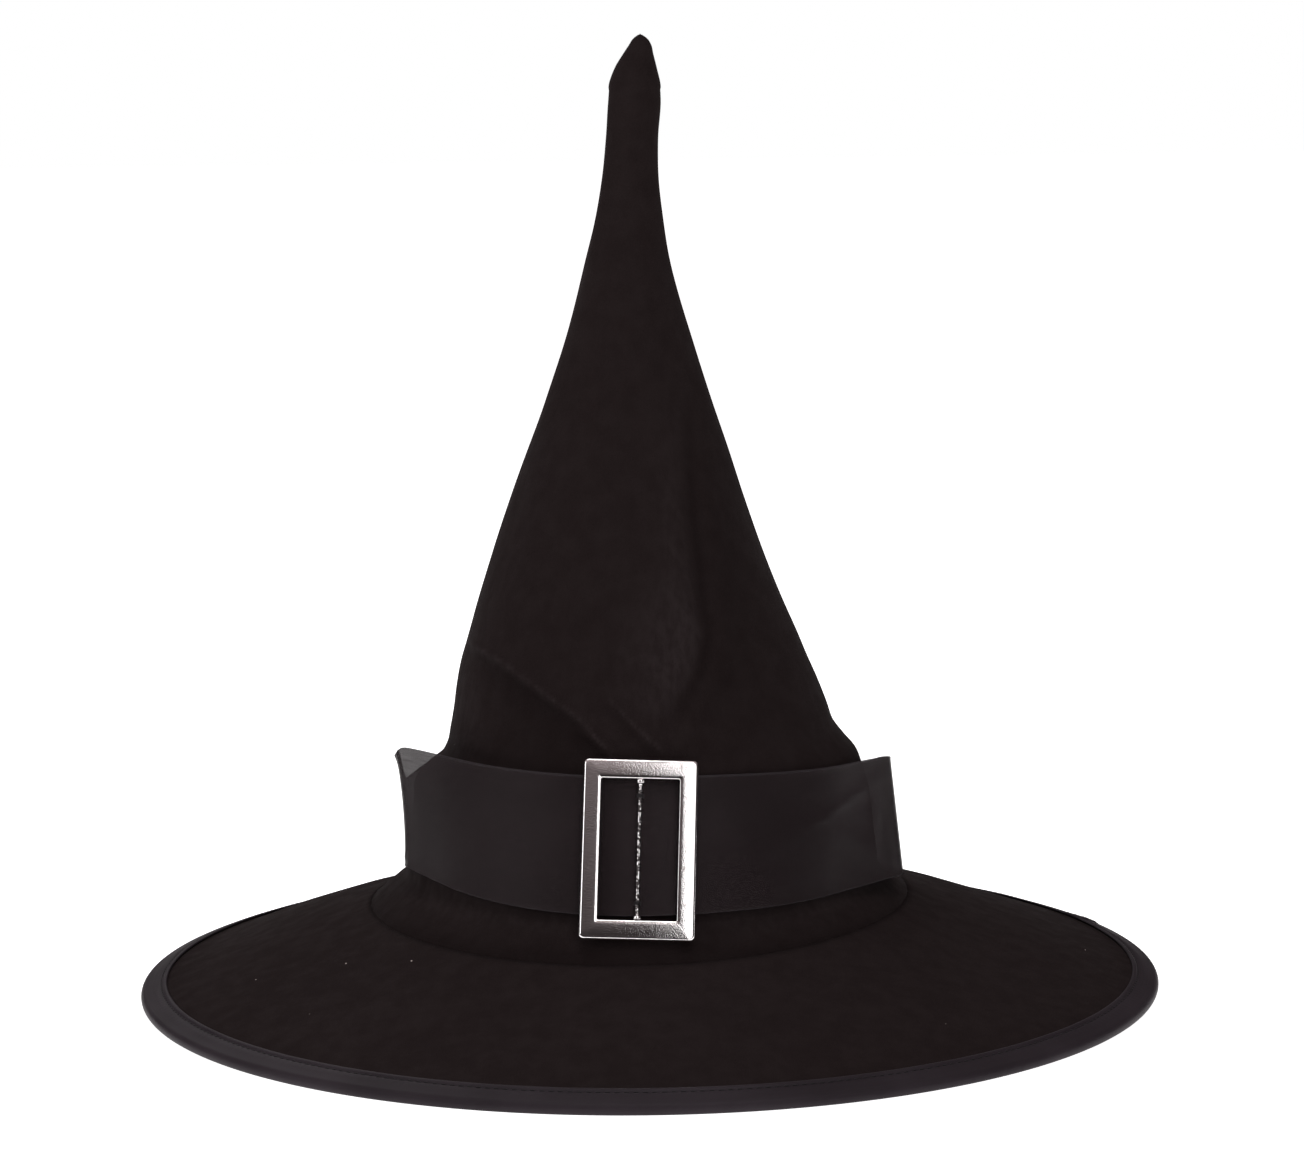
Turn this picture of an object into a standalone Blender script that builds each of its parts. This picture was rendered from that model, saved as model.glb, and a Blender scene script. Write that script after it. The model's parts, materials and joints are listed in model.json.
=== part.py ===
"""Witch hat: a velvet cone on a wired brim, with a satin band and a slide buckle.

Metres, +Z up. The hat stands on the bound edge of its brim. The origin is the middle of that
edge on the floor, the buckle faces -Y and +X is the wearer's left.
"""
import math

import bmesh
import bpy
import numpy as np
from mathutils import Euler, Vector

# ---------------------------------------------------------------- driving dimensions
BRIM_RADIUS = 0.190
HAT_HEIGHT = 0.352
GAP = 0.0003

# The crown wall from its seam up. Each row holds the height, half width (X), half depth (Y)
# and sideways shift: a flared foot, a drum under the band, a shoulder, then a leaning cone.
CROWN_ROWS = np.array([
    (0.0315, 0.1005, 0.1080, -0.0035),
    (0.0365, 0.0942, 0.1008, -0.0030),
    (0.0420, 0.0888, 0.0980, -0.0025),
    (0.0580, 0.0868, 0.0925, -0.0022),
    (0.0720, 0.0850, 0.0869, -0.0020),
    (0.0800, 0.0830, 0.0837, -0.0020),
    (0.0870, 0.0790, 0.0809, -0.0018),
    (0.0920, 0.0745, 0.0788, -0.0018),
    (0.1000, 0.0708, 0.0752, -0.0018),
    (0.1210, 0.0648, 0.0680, -0.0040),
    (0.1500, 0.0548, 0.0566, -0.0058),
    (0.1820, 0.0434, 0.0442, -0.0059),
    (0.2180, 0.0310, 0.0314, -0.0053),
    (0.2550, 0.0193, 0.0195, -0.0050),
    (0.2900, 0.0115, 0.0116, -0.0034),
    (0.3150, 0.0097, 0.0097, -0.0023),
    (0.3340, 0.0090, 0.0090, -0.0010),
    (0.3430, 0.0064, 0.0064, -0.0003),
    (0.3490, 0.0037, 0.0037, 0.0007),
    (HAT_HEIGHT, 0.0012, 0.0012, 0.0011),
])
SEAM_HEIGHT = CROWN_ROWS[0][0]
SEAM_FOLLOWS_BRIM_TO = 0.042
SEAM_ALLOWANCE = 0.0030

# Layers of the crown, from the outside in.
VELVET = 0.0007
INTERLINING = 0.0010
LINING = 0.0004
SWEATBAND = 0.0009
SWEATBAND_TOP = 0.058
LINING_TOP_ROW = 14
WADDING_FIRST_ROW = 15
WADDING_LAST_ROW = 17

# The brim: three layers on a shallow cone that ends at the edge wire.
BRIM_SLOPE = math.atan(0.341)
BRIM_VELVET = 0.0006
BRIM_CORE = 0.0008
BRIM_UNDERSIDE = 0.0005
WIRE_RADIUS = 0.0006
WIRE_CENTRE_HEIGHT = 0.0020
SLEEVE_WALL = 0.0004
SLEEVE_LENGTH = 0.012
SLEEVE_ANGLE = math.radians(22)

# The edge binding: a folded tape with a flat sole that the hat stands on.
BINDING_WIDTH = 0.0105
BINDING_HALF_THICKNESS = 0.0023
BINDING_WALL = 0.0007

# The band: a straight ribbon round the foot of the crown, pulled out to a crease at each side.
RIBBON_THICKNESS = 0.0005
RIBBON_STANDOFF = 0.0004
RIBBON_SHIFT = -0.0025
RIBBON_BOTTOM = {"z": 0.0455, "half_width": 0.0896, "half_depth": 0.0980}
RIBBON_TOP = {"z": 0.0910, "half_width": 0.0845, "half_depth": 0.0795}
RIBBON_DROP_LEFT = {"bottom": 0.0012, "top": 0.0045}
RIBBON_DROP_RIGHT = {"bottom": 0.0056, "top": 0.0070}
DROP_SHARPNESS = 10
EAR_LEFT = {"bottom": 0.0920, "top": 0.0940}
EAR_RIGHT = {"bottom": 0.0960, "top": 0.0912}

# The buckle: a moulded frame on a round bar, lashed to the band at both ends of the bar.
BUCKLE_WIDTH = 0.0400
BUCKLE_HEIGHT = 0.0640
BUCKLE_DEPTH = 0.0034
WINDOW_WIDTH = 0.0276
WINDOW_HEIGHT = 0.0502
FRAME_CORNER = 0.0016
WINDOW_CORNER = 0.0005
FRAME_BEVEL = 0.0008
BAR_RADIUS = 0.0009
COLLAR_RADIUS = 0.0014
COLLAR_LENGTH = 0.0014
BUCKLE_CENTRE_X = -0.0030
BUCKLE_CENTRE_Z = 0.0672
BUCKLE_LEAN = math.radians(22)
BUCKLE_ROLL = math.radians(2.2)
BUCKLE_STANDOFF = 0.0009
LASH_RADIUS = 0.0004
LASH_HEIGHT = 0.0190

STITCH_LENGTH = 0.034
STITCH_RADIUS = 0.0005

BRIM_SIDES = 64
CROWN_SIDES = 32
RIBBON_SIDES = 64
SMOOTH_ANGLE = math.radians(40)


# ---------------------------------------------------------------- shared tools
def clear_scene():
    for existing in list(bpy.data.objects):
        bpy.data.objects.remove(existing, do_unlink=True)


def make_material(name, colour, roughness, metallic=0.0):
    material = bpy.data.materials.new(name)
    material.use_nodes = True
    shader = material.node_tree.nodes["Principled BSDF"]
    shader.inputs["Base Color"].default_value = (*colour, 1.0)
    shader.inputs["Roughness"].default_value = roughness
    shader.inputs["Metallic"].default_value = metallic
    return material


def add_loft(name, rings, material, closed=False):
    """Joins rings of equal count with quads; the ends are capped, or joined when closed."""
    mesh = bpy.data.meshes.new(name)
    solid = bmesh.new()
    loops = [[solid.verts.new(point) for point in ring] for ring in rings]
    pairs = list(zip(loops, loops[1:]))
    if closed:
        pairs.append((loops[-1], loops[0]))
    else:
        solid.faces.new(loops[0])
        solid.faces.new(loops[-1])
    count = len(loops[0])
    for low, high in pairs:
        for i in range(count):
            j = (i + 1) % count
            solid.faces.new((low[i], low[j], high[j], high[i]))
    bmesh.ops.recalc_face_normals(solid, faces=solid.faces)
    solid.to_mesh(mesh)
    solid.free()
    mesh.shade_smooth()
    mesh.set_sharp_from_angle(angle=SMOOTH_ANGLE)
    mesh.materials.append(material)
    piece = bpy.data.objects.new(name, mesh)
    bpy.context.scene.collection.objects.link(piece)
    return piece


def turns(count):
    return [2 * math.pi * i / count for i in range(count)]


def revolve(name, section, material):
    """A ring with a constant closed section, given as (radius, height) points."""
    rings = [[(radius * math.cos(a), radius * math.sin(a), z) for a in turns(BRIM_SIDES)]
             for radius, z in section]
    return add_loft(name, rings, material, closed=True)


def add_tube(name, path, radius, sides, across, material):
    """A solid rod along a flat path; across is the unit vector square to the path's plane."""
    rings = []
    for i, point in enumerate(path):
        ahead = path[min(i + 1, len(path) - 1)]
        behind = path[max(i - 1, 0)]
        side = (ahead - behind).normalized().cross(across)
        rings.append([point + radius * (math.cos(a) * side + math.sin(a) * across)
                      for a in turns(sides)])
    return add_loft(name, rings, material)


# ---------------------------------------------------------------- crown
def brim_height(radius):
    """Height of the brim's middle surface at a distance from the hat's axis."""
    wire_centre = BRIM_RADIUS - BINDING_HALF_THICKNESS
    return WIRE_CENTRE_HEIGHT + (wire_centre - radius) * math.tan(BRIM_SLOPE)


def brim_stack():
    """Half the thickness of the brim's three layers and the gaps between them."""
    return BRIM_CORE / 2 + GAP + BRIM_VELVET


def brim_top_height(radius):
    return brim_height(radius) + brim_stack() / math.cos(BRIM_SLOPE)


def crown_ring(row, inset, drop=0.0):
    """One level of the crown, moved inwards along the wall's normal."""
    z, half_width, half_depth, shift = CROWN_ROWS[row]
    above = CROWN_ROWS[min(row + 1, len(CROWN_ROWS) - 1)]
    below = CROWN_ROWS[max(row - 1, 0)]
    rise = above[0] - below[0]
    run = (below[1] + below[2] - above[1] - above[2]) / 2
    length = math.hypot(rise, run)
    inward = inset * rise / length
    down = inset * run / length + drop
    follow = max(0.0, 1 - (z - SEAM_HEIGHT) / (SEAM_FOLLOWS_BRIM_TO - SEAM_HEIGHT))
    ring = []
    for a in turns(CROWN_SIDES):
        outer = math.hypot(shift + half_width * math.cos(a), half_depth * math.sin(a))
        seam_lift = follow * (brim_top_height(outer) - SEAM_HEIGHT)
        x = shift + (half_width - inward) * math.cos(a)
        y = (half_depth - inward) * math.sin(a)
        ring.append((x, y, z - down + seam_lift))
    return ring


def crown_shell(name, outer, inner, first, last, material, skirt=0.0):
    """A cone of cloth between two insets, open at its foot and closed at its tip."""
    inside = [crown_ring(row, inner) for row in range(last - 1, first - 1, -1)]
    outside = [crown_ring(row, outer) for row in range(first, last + 1)]
    if skirt:
        inside.append(crown_ring(first, inner, skirt))
        outside.insert(0, crown_ring(first, outer, skirt))
    return add_loft(name, inside + outside, material)


def build_crown(velvet, interlining, lining, wadding, grosgrain):
    last = len(CROWN_ROWS) - 1
    crown_shell("crown_cone", 0.0, VELVET, 0, last, velvet, SEAM_ALLOWANCE)
    depth = VELVET + GAP
    crown_shell("crown_interlining", depth, depth + INTERLINING, 0, last - 1, interlining)
    depth += INTERLINING + GAP
    plug = [crown_ring(row, depth) for row in range(WADDING_FIRST_ROW, WADDING_LAST_ROW + 1)]
    add_loft("tip_wadding", plug, wadding)
    crown_shell("crown_lining", depth, depth + LINING, 0, LINING_TOP_ROW, lining)
    depth += LINING + GAP
    build_sweatband(depth, grosgrain)


def build_sweatband(depth, grosgrain):
    """A tape standing inside the head opening, over the seam of crown and brim."""
    rows = [row for row in range(len(CROWN_ROWS))
            if CROWN_ROWS[row][0] <= SWEATBAND_TOP]
    inside = [crown_ring(row, depth + SWEATBAND) for row in reversed(rows)]
    outside = [crown_ring(row, depth) for row in rows]
    add_loft("sweatband", inside + outside, grosgrain, closed=True)


# ---------------------------------------------------------------- brim
def brim_layer(name, low, high, material):
    """A sloping annulus from the crown seam to the wire, between two heights off its middle."""
    _, half_width, half_depth, shift = CROWN_ROWS[0]
    outer = BRIM_RADIUS - BINDING_HALF_THICKNESS
    outer -= (WIRE_RADIUS + SLEEVE_WALL + 3 * GAP) * math.cos(BRIM_SLOPE)
    inner_edge = []
    outer_edge = []
    for a in turns(BRIM_SIDES):
        x = shift + (half_width + GAP) * math.cos(a)
        y = (half_depth + GAP) * math.sin(a)
        inner_edge.append((x, y, brim_height(math.hypot(x, y))))
        outer_edge.append((outer * math.cos(a), outer * math.sin(a), brim_height(outer)))
    rings = []
    for edge, height in ((inner_edge, low), (outer_edge, low), (outer_edge, high), (inner_edge, high)):
        lift = height / math.cos(BRIM_SLOPE)
        rings.append([(x, y, z + lift) for x, y, z in edge])
    return add_loft(name, rings, material, closed=True)


def build_brim(velvet, core, underside):
    half_core = BRIM_CORE / 2
    brim_layer("brim_interlining", -half_core, half_core, core)
    brim_layer("brim_top", half_core + GAP, half_core + GAP + BRIM_VELVET, velvet)
    brim_layer("brim_underside", -half_core - GAP - BRIM_UNDERSIDE, -half_core - GAP, underside)


def build_wire(steel, crimp):
    """A spring-steel hoop whose ends meet inside a crimped sleeve."""
    centre = BRIM_RADIUS - BINDING_HALF_THICKNESS
    end_gap = GAP / centre
    start = SLEEVE_ANGLE + end_gap
    turn = 2 * math.pi - 2 * end_gap
    angles = [start + turn * i / BRIM_SIDES for i in range(BRIM_SIDES + 1)]
    path = [Vector((centre * math.cos(a), centre * math.sin(a), WIRE_CENTRE_HEIGHT)) for a in angles]
    add_tube("brim_wire", path, WIRE_RADIUS, 6, Vector((0, 0, 1)), steel)
    build_sleeve(centre, crimp)


def build_sleeve(centre, crimp):
    """The sleeve is a short tube, so its rings run up the outside and back down the bore."""
    half = SLEEVE_LENGTH / 2 / centre
    bore = WIRE_RADIUS + GAP
    rings = []
    for radius, ends in ((bore, (half, -half)), (bore + SLEEVE_WALL, (-half, half))):
        for end in ends:
            a = SLEEVE_ANGLE + end
            radial = Vector((math.cos(a), math.sin(a), 0))
            middle = centre * radial + Vector((0, 0, WIRE_CENTRE_HEIGHT))
            rings.append([middle + radius * (math.cos(b) * radial + math.sin(b) * Vector((0, 0, 1)))
                          for b in turns(10)])
    add_loft("wire_sleeve", rings, crimp, closed=True)


def arc(centre, radius, start, end, count):
    """Points on an arc in the (radius, height) plane, from one angle to another."""
    angles = [start + (end - start) * i / (count - 1) for i in range(count)]
    return [(centre[0] + radius * math.cos(a), centre[1] + radius * math.sin(a)) for a in angles]


def build_binding(satin):
    """A tape folded round the wire: round outside, a flat sole below, a slot for the brim."""
    centre = (BRIM_RADIUS - BINDING_HALF_THICKNESS, WIRE_CENTRE_HEIGHT)
    top = math.pi / 2 - BRIM_SLOPE
    bottom = -math.pi / 2 - BRIM_SLOPE
    reach = BINDING_WIDTH - BINDING_HALF_THICKNESS
    inwards = (-reach * math.cos(BRIM_SLOPE), reach * math.sin(BRIM_SLOPE))
    thick = BINDING_HALF_THICKNESS
    slot = BINDING_HALF_THICKNESS - BINDING_WALL
    sole_outer = -math.asin(centre[1] / thick)
    heel = (centre[0] + thick * math.cos(bottom), centre[1] + thick * math.sin(bottom))
    sole_inner = heel[0] + heel[1] / math.tan(BRIM_SLOPE)
    outside = arc(centre, thick, top, sole_outer, 7) + [(sole_inner, 0.0)]
    cavity = arc(centre, slot, bottom, top, 6)
    flap_low_outer = (heel[0] + inwards[0], heel[1] + inwards[1])
    flap_low_inner = (cavity[0][0] + inwards[0], cavity[0][1] + inwards[1])
    flap_high_inner = (cavity[-1][0] + inwards[0], cavity[-1][1] + inwards[1])
    flap_high_outer = (outside[0][0] + inwards[0], outside[0][1] + inwards[1])
    section = [flap_high_outer] + outside + [flap_low_outer, flap_low_inner]
    section += cavity + [flap_high_inner]
    revolve("edge_binding", section, satin)


# ---------------------------------------------------------------- band
def band_outline(level, ear_left, ear_right, grow):
    """The band seen from above: a taut loop round an oval and two outlying creases."""
    half_width = level["half_width"] + grow
    half_depth = level["half_depth"] + grow
    shift = RIBBON_SHIFT
    quarter = RIBBON_SIDES // 4
    points = []
    quarters = ((1, 1, ear_right), (-1, 1, ear_left), (-1, -1, ear_left), (1, -1, ear_right))
    for sign_x, sign_y, ear in quarters:
        crease = ear + grow - sign_x * shift
        leave = math.acos(min(1.0, half_width / crease))
        run = []
        for i in range(quarter):
            a = math.pi / 2 * i / quarter
            if a < leave:
                part = a / leave
                x = crease + (half_width * math.cos(leave) - crease) * part
                y = half_depth * math.sin(leave) * part
            else:
                x = half_width * math.cos(a)
                y = half_depth * math.sin(a)
            run.append((shift + sign_x * x, sign_y * y))
        if sign_x * sign_y < 0:
            run = run[1:] + [(shift, sign_y * half_depth)]
            run.reverse()
        points += run
    return points


def band_ring(level, ear_left, ear_right, drops, grow):
    left_drop, right_drop = drops
    ring = []
    for x, y in band_outline(level, ear_left, ear_right, grow):
        sideways = x / math.hypot(x, y)
        drop = (right_drop if sideways > 0 else left_drop) * sideways ** DROP_SHARPNESS
        ring.append((x, y, level["z"] - drop))
    return ring


def build_band(satin):
    rings = []
    outside = RIBBON_STANDOFF + RIBBON_THICKNESS
    for grow, order in ((RIBBON_STANDOFF, ("top", "bottom")), (outside, ("bottom", "top"))):
        for edge in order:
            level = RIBBON_TOP if edge == "top" else RIBBON_BOTTOM
            drops = (RIBBON_DROP_LEFT[edge], RIBBON_DROP_RIGHT[edge])
            rings.append(band_ring(level, EAR_LEFT[edge], EAR_RIGHT[edge], drops, grow))
    add_loft("ribbon_band", rings, satin, closed=True)


def band_front(z):
    """Distance of the band's front face from the hat's axis at a height."""
    part = (z - RIBBON_BOTTOM["z"]) / (RIBBON_TOP["z"] - RIBBON_BOTTOM["z"])
    taper = RIBBON_TOP["half_depth"] - RIBBON_BOTTOM["half_depth"]
    return RIBBON_BOTTOM["half_depth"] + part * taper + RIBBON_STANDOFF + RIBBON_THICKNESS


def build_band_stitches(thread):
    """The row of stitches that closes the band's lap at the centre back, as one ridge."""
    taper = RIBBON_BOTTOM["half_depth"] - RIBBON_TOP["half_depth"]
    lean = math.atan2(taper, RIBBON_TOP["z"] - RIBBON_BOTTOM["z"])
    middle_z = (RIBBON_BOTTOM["z"] + RIBBON_TOP["z"]) / 2
    along = Vector((0, -math.sin(lean), math.cos(lean)))
    out = Vector((0, math.cos(lean), math.sin(lean)))
    middle = Vector((RIBBON_SHIFT, band_front(middle_z), middle_z)) + (STITCH_RADIUS + GAP) * out
    path = [middle + STITCH_LENGTH * (i / 4 - 0.5) * along for i in range(5)]
    add_tube("ribbon_stitches", path, STITCH_RADIUS, 8, out, thread)


# ---------------------------------------------------------------- buckle
def rounded_rectangle(width, height, corner, z):
    ring = []
    for sign_x, sign_y, start in ((1, 1, 0), (-1, 1, 1), (-1, -1, 2), (1, -1, 3)):
        for i in range(5):
            a = math.pi / 2 * (start + i / 4)
            x = sign_x * (width / 2 - corner) + corner * math.cos(a)
            y = sign_y * (height / 2 - corner) + corner * math.sin(a)
            ring.append((x, y, z))
    return ring


def buckle_pivot():
    """An empty on the bar's axis: local Y runs up the bar and local Z faces outwards."""
    pivot = bpy.data.objects.new("buckle_pivot", None)
    bpy.context.scene.collection.objects.link(pivot)
    out = Vector((0, -math.cos(BUCKLE_LEAN), math.sin(BUCKLE_LEAN)))
    face = Vector((BUCKLE_CENTRE_X, -band_front(BUCKLE_CENTRE_Z), BUCKLE_CENTRE_Z))
    pivot.location = face + (BUCKLE_STANDOFF + BUCKLE_DEPTH / 2) * out
    pivot.rotation_euler = Euler((math.pi / 2 - BUCKLE_LEAN, 0, 0))
    pivot.rotation_euler.rotate_axis("Z", -BUCKLE_ROLL)
    return pivot


def build_frame(pivot, plated):
    half = BUCKLE_DEPTH / 2
    shoulder = half - FRAME_BEVEL
    cut = 2 * FRAME_BEVEL
    crest_corner = FRAME_CORNER - FRAME_BEVEL / 2
    rings = [
        rounded_rectangle(BUCKLE_WIDTH, BUCKLE_HEIGHT, FRAME_CORNER, -half),
        rounded_rectangle(BUCKLE_WIDTH, BUCKLE_HEIGHT, FRAME_CORNER, shoulder),
        rounded_rectangle(BUCKLE_WIDTH - cut, BUCKLE_HEIGHT - cut, crest_corner, half),
        rounded_rectangle(WINDOW_WIDTH + cut, WINDOW_HEIGHT + cut, WINDOW_CORNER + FRAME_BEVEL, half),
        rounded_rectangle(WINDOW_WIDTH, WINDOW_HEIGHT, WINDOW_CORNER, shoulder),
        rounded_rectangle(WINDOW_WIDTH, WINDOW_HEIGHT, WINDOW_CORNER, -half),
    ]
    frame = add_loft("buckle_frame", rings, plated, closed=True)
    frame.parent = pivot


def build_bar(pivot, plated):
    """A turned rod with a small collar at each end, standing between the frame's rails."""
    end = WINDOW_HEIGHT / 2 - GAP
    neck = end - COLLAR_LENGTH
    profile = [(COLLAR_RADIUS, -end), (COLLAR_RADIUS, -neck), (BAR_RADIUS, -neck),
               (BAR_RADIUS, neck), (COLLAR_RADIUS, neck), (COLLAR_RADIUS, end)]
    rings = [[(radius * math.sin(a), y, radius * math.cos(a)) for a in turns(12)]
             for radius, y in profile]
    bar = add_loft("buckle_bar", rings, plated)
    bar.parent = pivot


def build_lashing(name, along_bar, pivot, thread):
    """A thread bridge over the bar, with its feet on the band."""
    bend = BAR_RADIUS + GAP + LASH_RADIUS
    foot = -(BUCKLE_STANDOFF + BUCKLE_DEPTH / 2) + 2 * GAP
    path = [Vector((bend, along_bar, foot))]
    path += [Vector((bend * math.cos(a), along_bar, bend * math.sin(a)))
             for a in (math.pi * i / 8 for i in range(9))]
    path.append(Vector((-bend, along_bar, foot)))
    bridge = add_tube(name, path, LASH_RADIUS, 6, Vector((0, 1, 0)), thread)
    bridge.location = pivot.location
    bridge.rotation_euler = pivot.rotation_euler


def build_buckle(plated, thread):
    pivot = buckle_pivot()
    build_frame(pivot, plated)
    build_bar(pivot, plated)
    build_lashing("buckle_lashing_top", LASH_HEIGHT, pivot, thread)
    build_lashing("buckle_lashing_bottom", -LASH_HEIGHT, pivot, thread)


# ---------------------------------------------------------------- assembly
def build_hat():
    clear_scene()
    velvet = make_material("black_velvet", (0.013, 0.010, 0.010), 0.9)
    satin = make_material("black_satin", (0.030, 0.025, 0.028), 0.42)
    lining = make_material("black_lining", (0.020, 0.018, 0.020), 0.6)
    interlining = make_material("grey_interlining", (0.12, 0.12, 0.12), 0.95)
    core = make_material("brim_core", (0.10, 0.10, 0.10), 0.95)
    wadding = make_material("white_wadding", (0.75, 0.74, 0.72), 1.0)
    grosgrain = make_material("black_grosgrain", (0.018, 0.016, 0.017), 0.7)
    thread = make_material("black_thread", (0.015, 0.014, 0.015), 0.6)
    steel = make_material("spring_steel", (0.45, 0.45, 0.46), 0.35, 1.0)
    crimp = make_material("crimp_steel", (0.55, 0.55, 0.56), 0.3, 1.0)
    plated = make_material("plated_plastic", (0.80, 0.78, 0.78), 0.12, 1.0)
    build_crown(velvet, interlining, lining, wadding, grosgrain)
    build_brim(velvet, core, lining)
    build_wire(steel, crimp)
    build_binding(satin)
    build_band(satin)
    build_band_stitches(thread)
    build_buckle(plated, thread)


build_hat()
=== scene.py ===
"""A black velvet witch hat with a satin band and a plated buckle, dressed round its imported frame.

Metres, +Z up. The hat stands on its brim's bound edge, with the buckle towards -Y.
"""
import json
import math

import bpy
import numpy as np
from mathutils import Matrix, Vector


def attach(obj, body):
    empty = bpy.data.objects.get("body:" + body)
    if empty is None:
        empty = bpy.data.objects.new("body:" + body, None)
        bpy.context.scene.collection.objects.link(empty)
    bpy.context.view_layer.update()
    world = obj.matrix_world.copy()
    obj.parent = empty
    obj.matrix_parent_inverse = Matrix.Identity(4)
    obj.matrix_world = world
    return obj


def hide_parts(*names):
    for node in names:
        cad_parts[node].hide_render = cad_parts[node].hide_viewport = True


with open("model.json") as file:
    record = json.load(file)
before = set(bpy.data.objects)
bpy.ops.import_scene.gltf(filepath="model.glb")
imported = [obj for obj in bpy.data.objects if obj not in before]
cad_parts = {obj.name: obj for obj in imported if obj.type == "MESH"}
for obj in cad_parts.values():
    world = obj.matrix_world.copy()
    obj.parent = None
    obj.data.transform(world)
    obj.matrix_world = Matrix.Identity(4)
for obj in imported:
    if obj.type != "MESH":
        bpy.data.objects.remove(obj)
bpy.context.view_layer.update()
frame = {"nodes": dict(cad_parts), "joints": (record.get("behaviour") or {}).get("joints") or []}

# ================================================================ Stage
# A pale studio: a white floor and a surround that is dark low down and brightens overhead, so
# that black cloth keeps its shape. Lamps stand at the left, in front, above and behind, and a
# panel at the front right gives the buckle's right rail its white reflection.
FLOOR_HALF = 60.0
FLOOR_COLOUR = (0.90, 0.90, 0.90, 1.0)
FLOOR_GLOW = 0.95
CAMERA_PLACE = Vector((0.00285, -1.300, 0.31305))
CAMERA_PITCH = math.radians(7.009)
CAMERA_ROLL = math.radians(-0.768)
CAMERA_LENS = 97.21
CAMERA_SENSOR = 36.0
LAMPS = (
    # name, place, aim, width, height, power
    ("left_lamp", (-1.50, -0.70, 0.90), (0.0, 0.0, 0.12), 0.90, 1.10, 7.0),
    ("right_panel", (0.500, -1.27, 0.86), (0.0, -0.09, 0.07), 0.80, 0.95, 3.8),
    ("front_lamp", (0.25, -0.75, 1.85), (0.0, 0.0, 0.12), 0.60, 0.45, 6.5),
    ("top_lamp", (-0.35, 0.10, 1.85), (0.0, 0.0, 0.10), 1.00, 0.80, 7.0),
    ("back_lamp", (-0.60, 1.60, 1.20), (0.0, 0.0, 0.12), 1.00, 1.00, 4.0),
)
LOW_GLOW = 0.030
HIGH_GLOW = 0.36
SURROUND_TINT = (1.0, 0.84, 0.85, 1.0)


def light_stage():
    for name, place, aim, width, height, power in LAMPS:
        light = bpy.data.lights.new(name, "AREA")
        light.shape = "RECTANGLE"
        light.size = width
        light.size_y = height
        light.energy = power
        lamp = bpy.data.objects.new(name, light)
        bpy.context.scene.collection.objects.link(lamp)
        lamp.location = place
        lamp.rotation_euler = (Vector(aim) - Vector(place)).to_track_quat("-Z", "Y").to_euler()


def surround():
    """The world is plain white to the eye; what it sheds grows from dim at the floor to bright overhead."""
    world = bpy.data.worlds.new("surround")
    world.use_nodes = True
    tree = world.node_tree
    tree.nodes.clear()
    direction = tree.nodes.new("ShaderNodeTexCoord")
    split = tree.nodes.new("ShaderNodeSeparateXYZ")
    fall = tree.nodes.new("ShaderNodeMapRange")
    fall.interpolation_type = "SMOOTHSTEP"
    fall.inputs["From Min"].default_value = 0.42
    fall.inputs["From Max"].default_value = 0.85
    fall.inputs["To Min"].default_value = LOW_GLOW
    fall.inputs["To Max"].default_value = HIGH_GLOW
    shed = tree.nodes.new("ShaderNodeBackground")
    shed.inputs["Color"].default_value = SURROUND_TINT
    seen = tree.nodes.new("ShaderNodeBackground")
    seen.inputs["Color"].default_value = (1.0, 1.0, 1.0, 1.0)
    path = tree.nodes.new("ShaderNodeLightPath")
    choose = tree.nodes.new("ShaderNodeMixShader")
    output = tree.nodes.new("ShaderNodeOutputWorld")
    for start, end in ((direction.outputs["Generated"], split.inputs[0]),
                       (split.outputs["Z"], fall.inputs["Value"]),
                       (fall.outputs[0], shed.inputs["Strength"]),
                       (path.outputs["Is Camera Ray"], choose.inputs[0]),
                       (shed.outputs[0], choose.inputs[1]),
                       (seen.outputs[0], choose.inputs[2]),
                       (choose.outputs[0], output.inputs["Surface"])):
        tree.links.new(start, end)
    bpy.context.scene.world = world


def lay_floor():
    mesh = bpy.data.meshes.new("floor")
    reach = FLOOR_HALF
    corners = [(-reach, -reach, 0.0), (reach, -reach, 0.0), (reach, reach, 0.0), (-reach, reach, 0.0)]
    mesh.from_pydata(corners, [], [(0, 1, 2, 3)])
    paper = bpy.data.materials.new("studio_paper")
    paper.use_nodes = True
    shader = paper.node_tree.nodes["Principled BSDF"]
    shader.inputs["Base Color"].default_value = FLOOR_COLOUR
    shader.inputs["Roughness"].default_value = 0.9
    shader.inputs["Emission Color"].default_value = (1.0, 1.0, 1.0, 1.0)
    shader.inputs["Emission Strength"].default_value = FLOOR_GLOW
    mesh.materials.append(paper)
    floor = bpy.data.objects.new("floor", mesh)
    bpy.context.scene.collection.objects.link(floor)


def set_camera():
    """Looks along +Y, tipped down by the pitch, then turned about its own axis by the roll."""
    forward = Vector((0, math.cos(CAMERA_PITCH), -math.sin(CAMERA_PITCH)))
    level = Vector((1, 0, 0))
    upright = level.cross(forward)
    right = math.cos(CAMERA_ROLL) * level + math.sin(CAMERA_ROLL) * upright
    up = math.cos(CAMERA_ROLL) * upright - math.sin(CAMERA_ROLL) * level
    lens = bpy.data.cameras.new("camera")
    lens.lens = CAMERA_LENS
    lens.sensor_width = CAMERA_SENSOR
    camera = bpy.data.objects.new("camera", lens)
    bpy.context.scene.collection.objects.link(camera)
    turned = Matrix((right, up, -forward)).transposed().to_4x4()
    camera.matrix_world = Matrix.Translation(CAMERA_PLACE) @ turned
    bpy.context.scene.camera = camera


light_stage()
surround()
lay_floor()
set_camera()
bpy.context.scene.view_settings.view_transform = "Standard"

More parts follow.
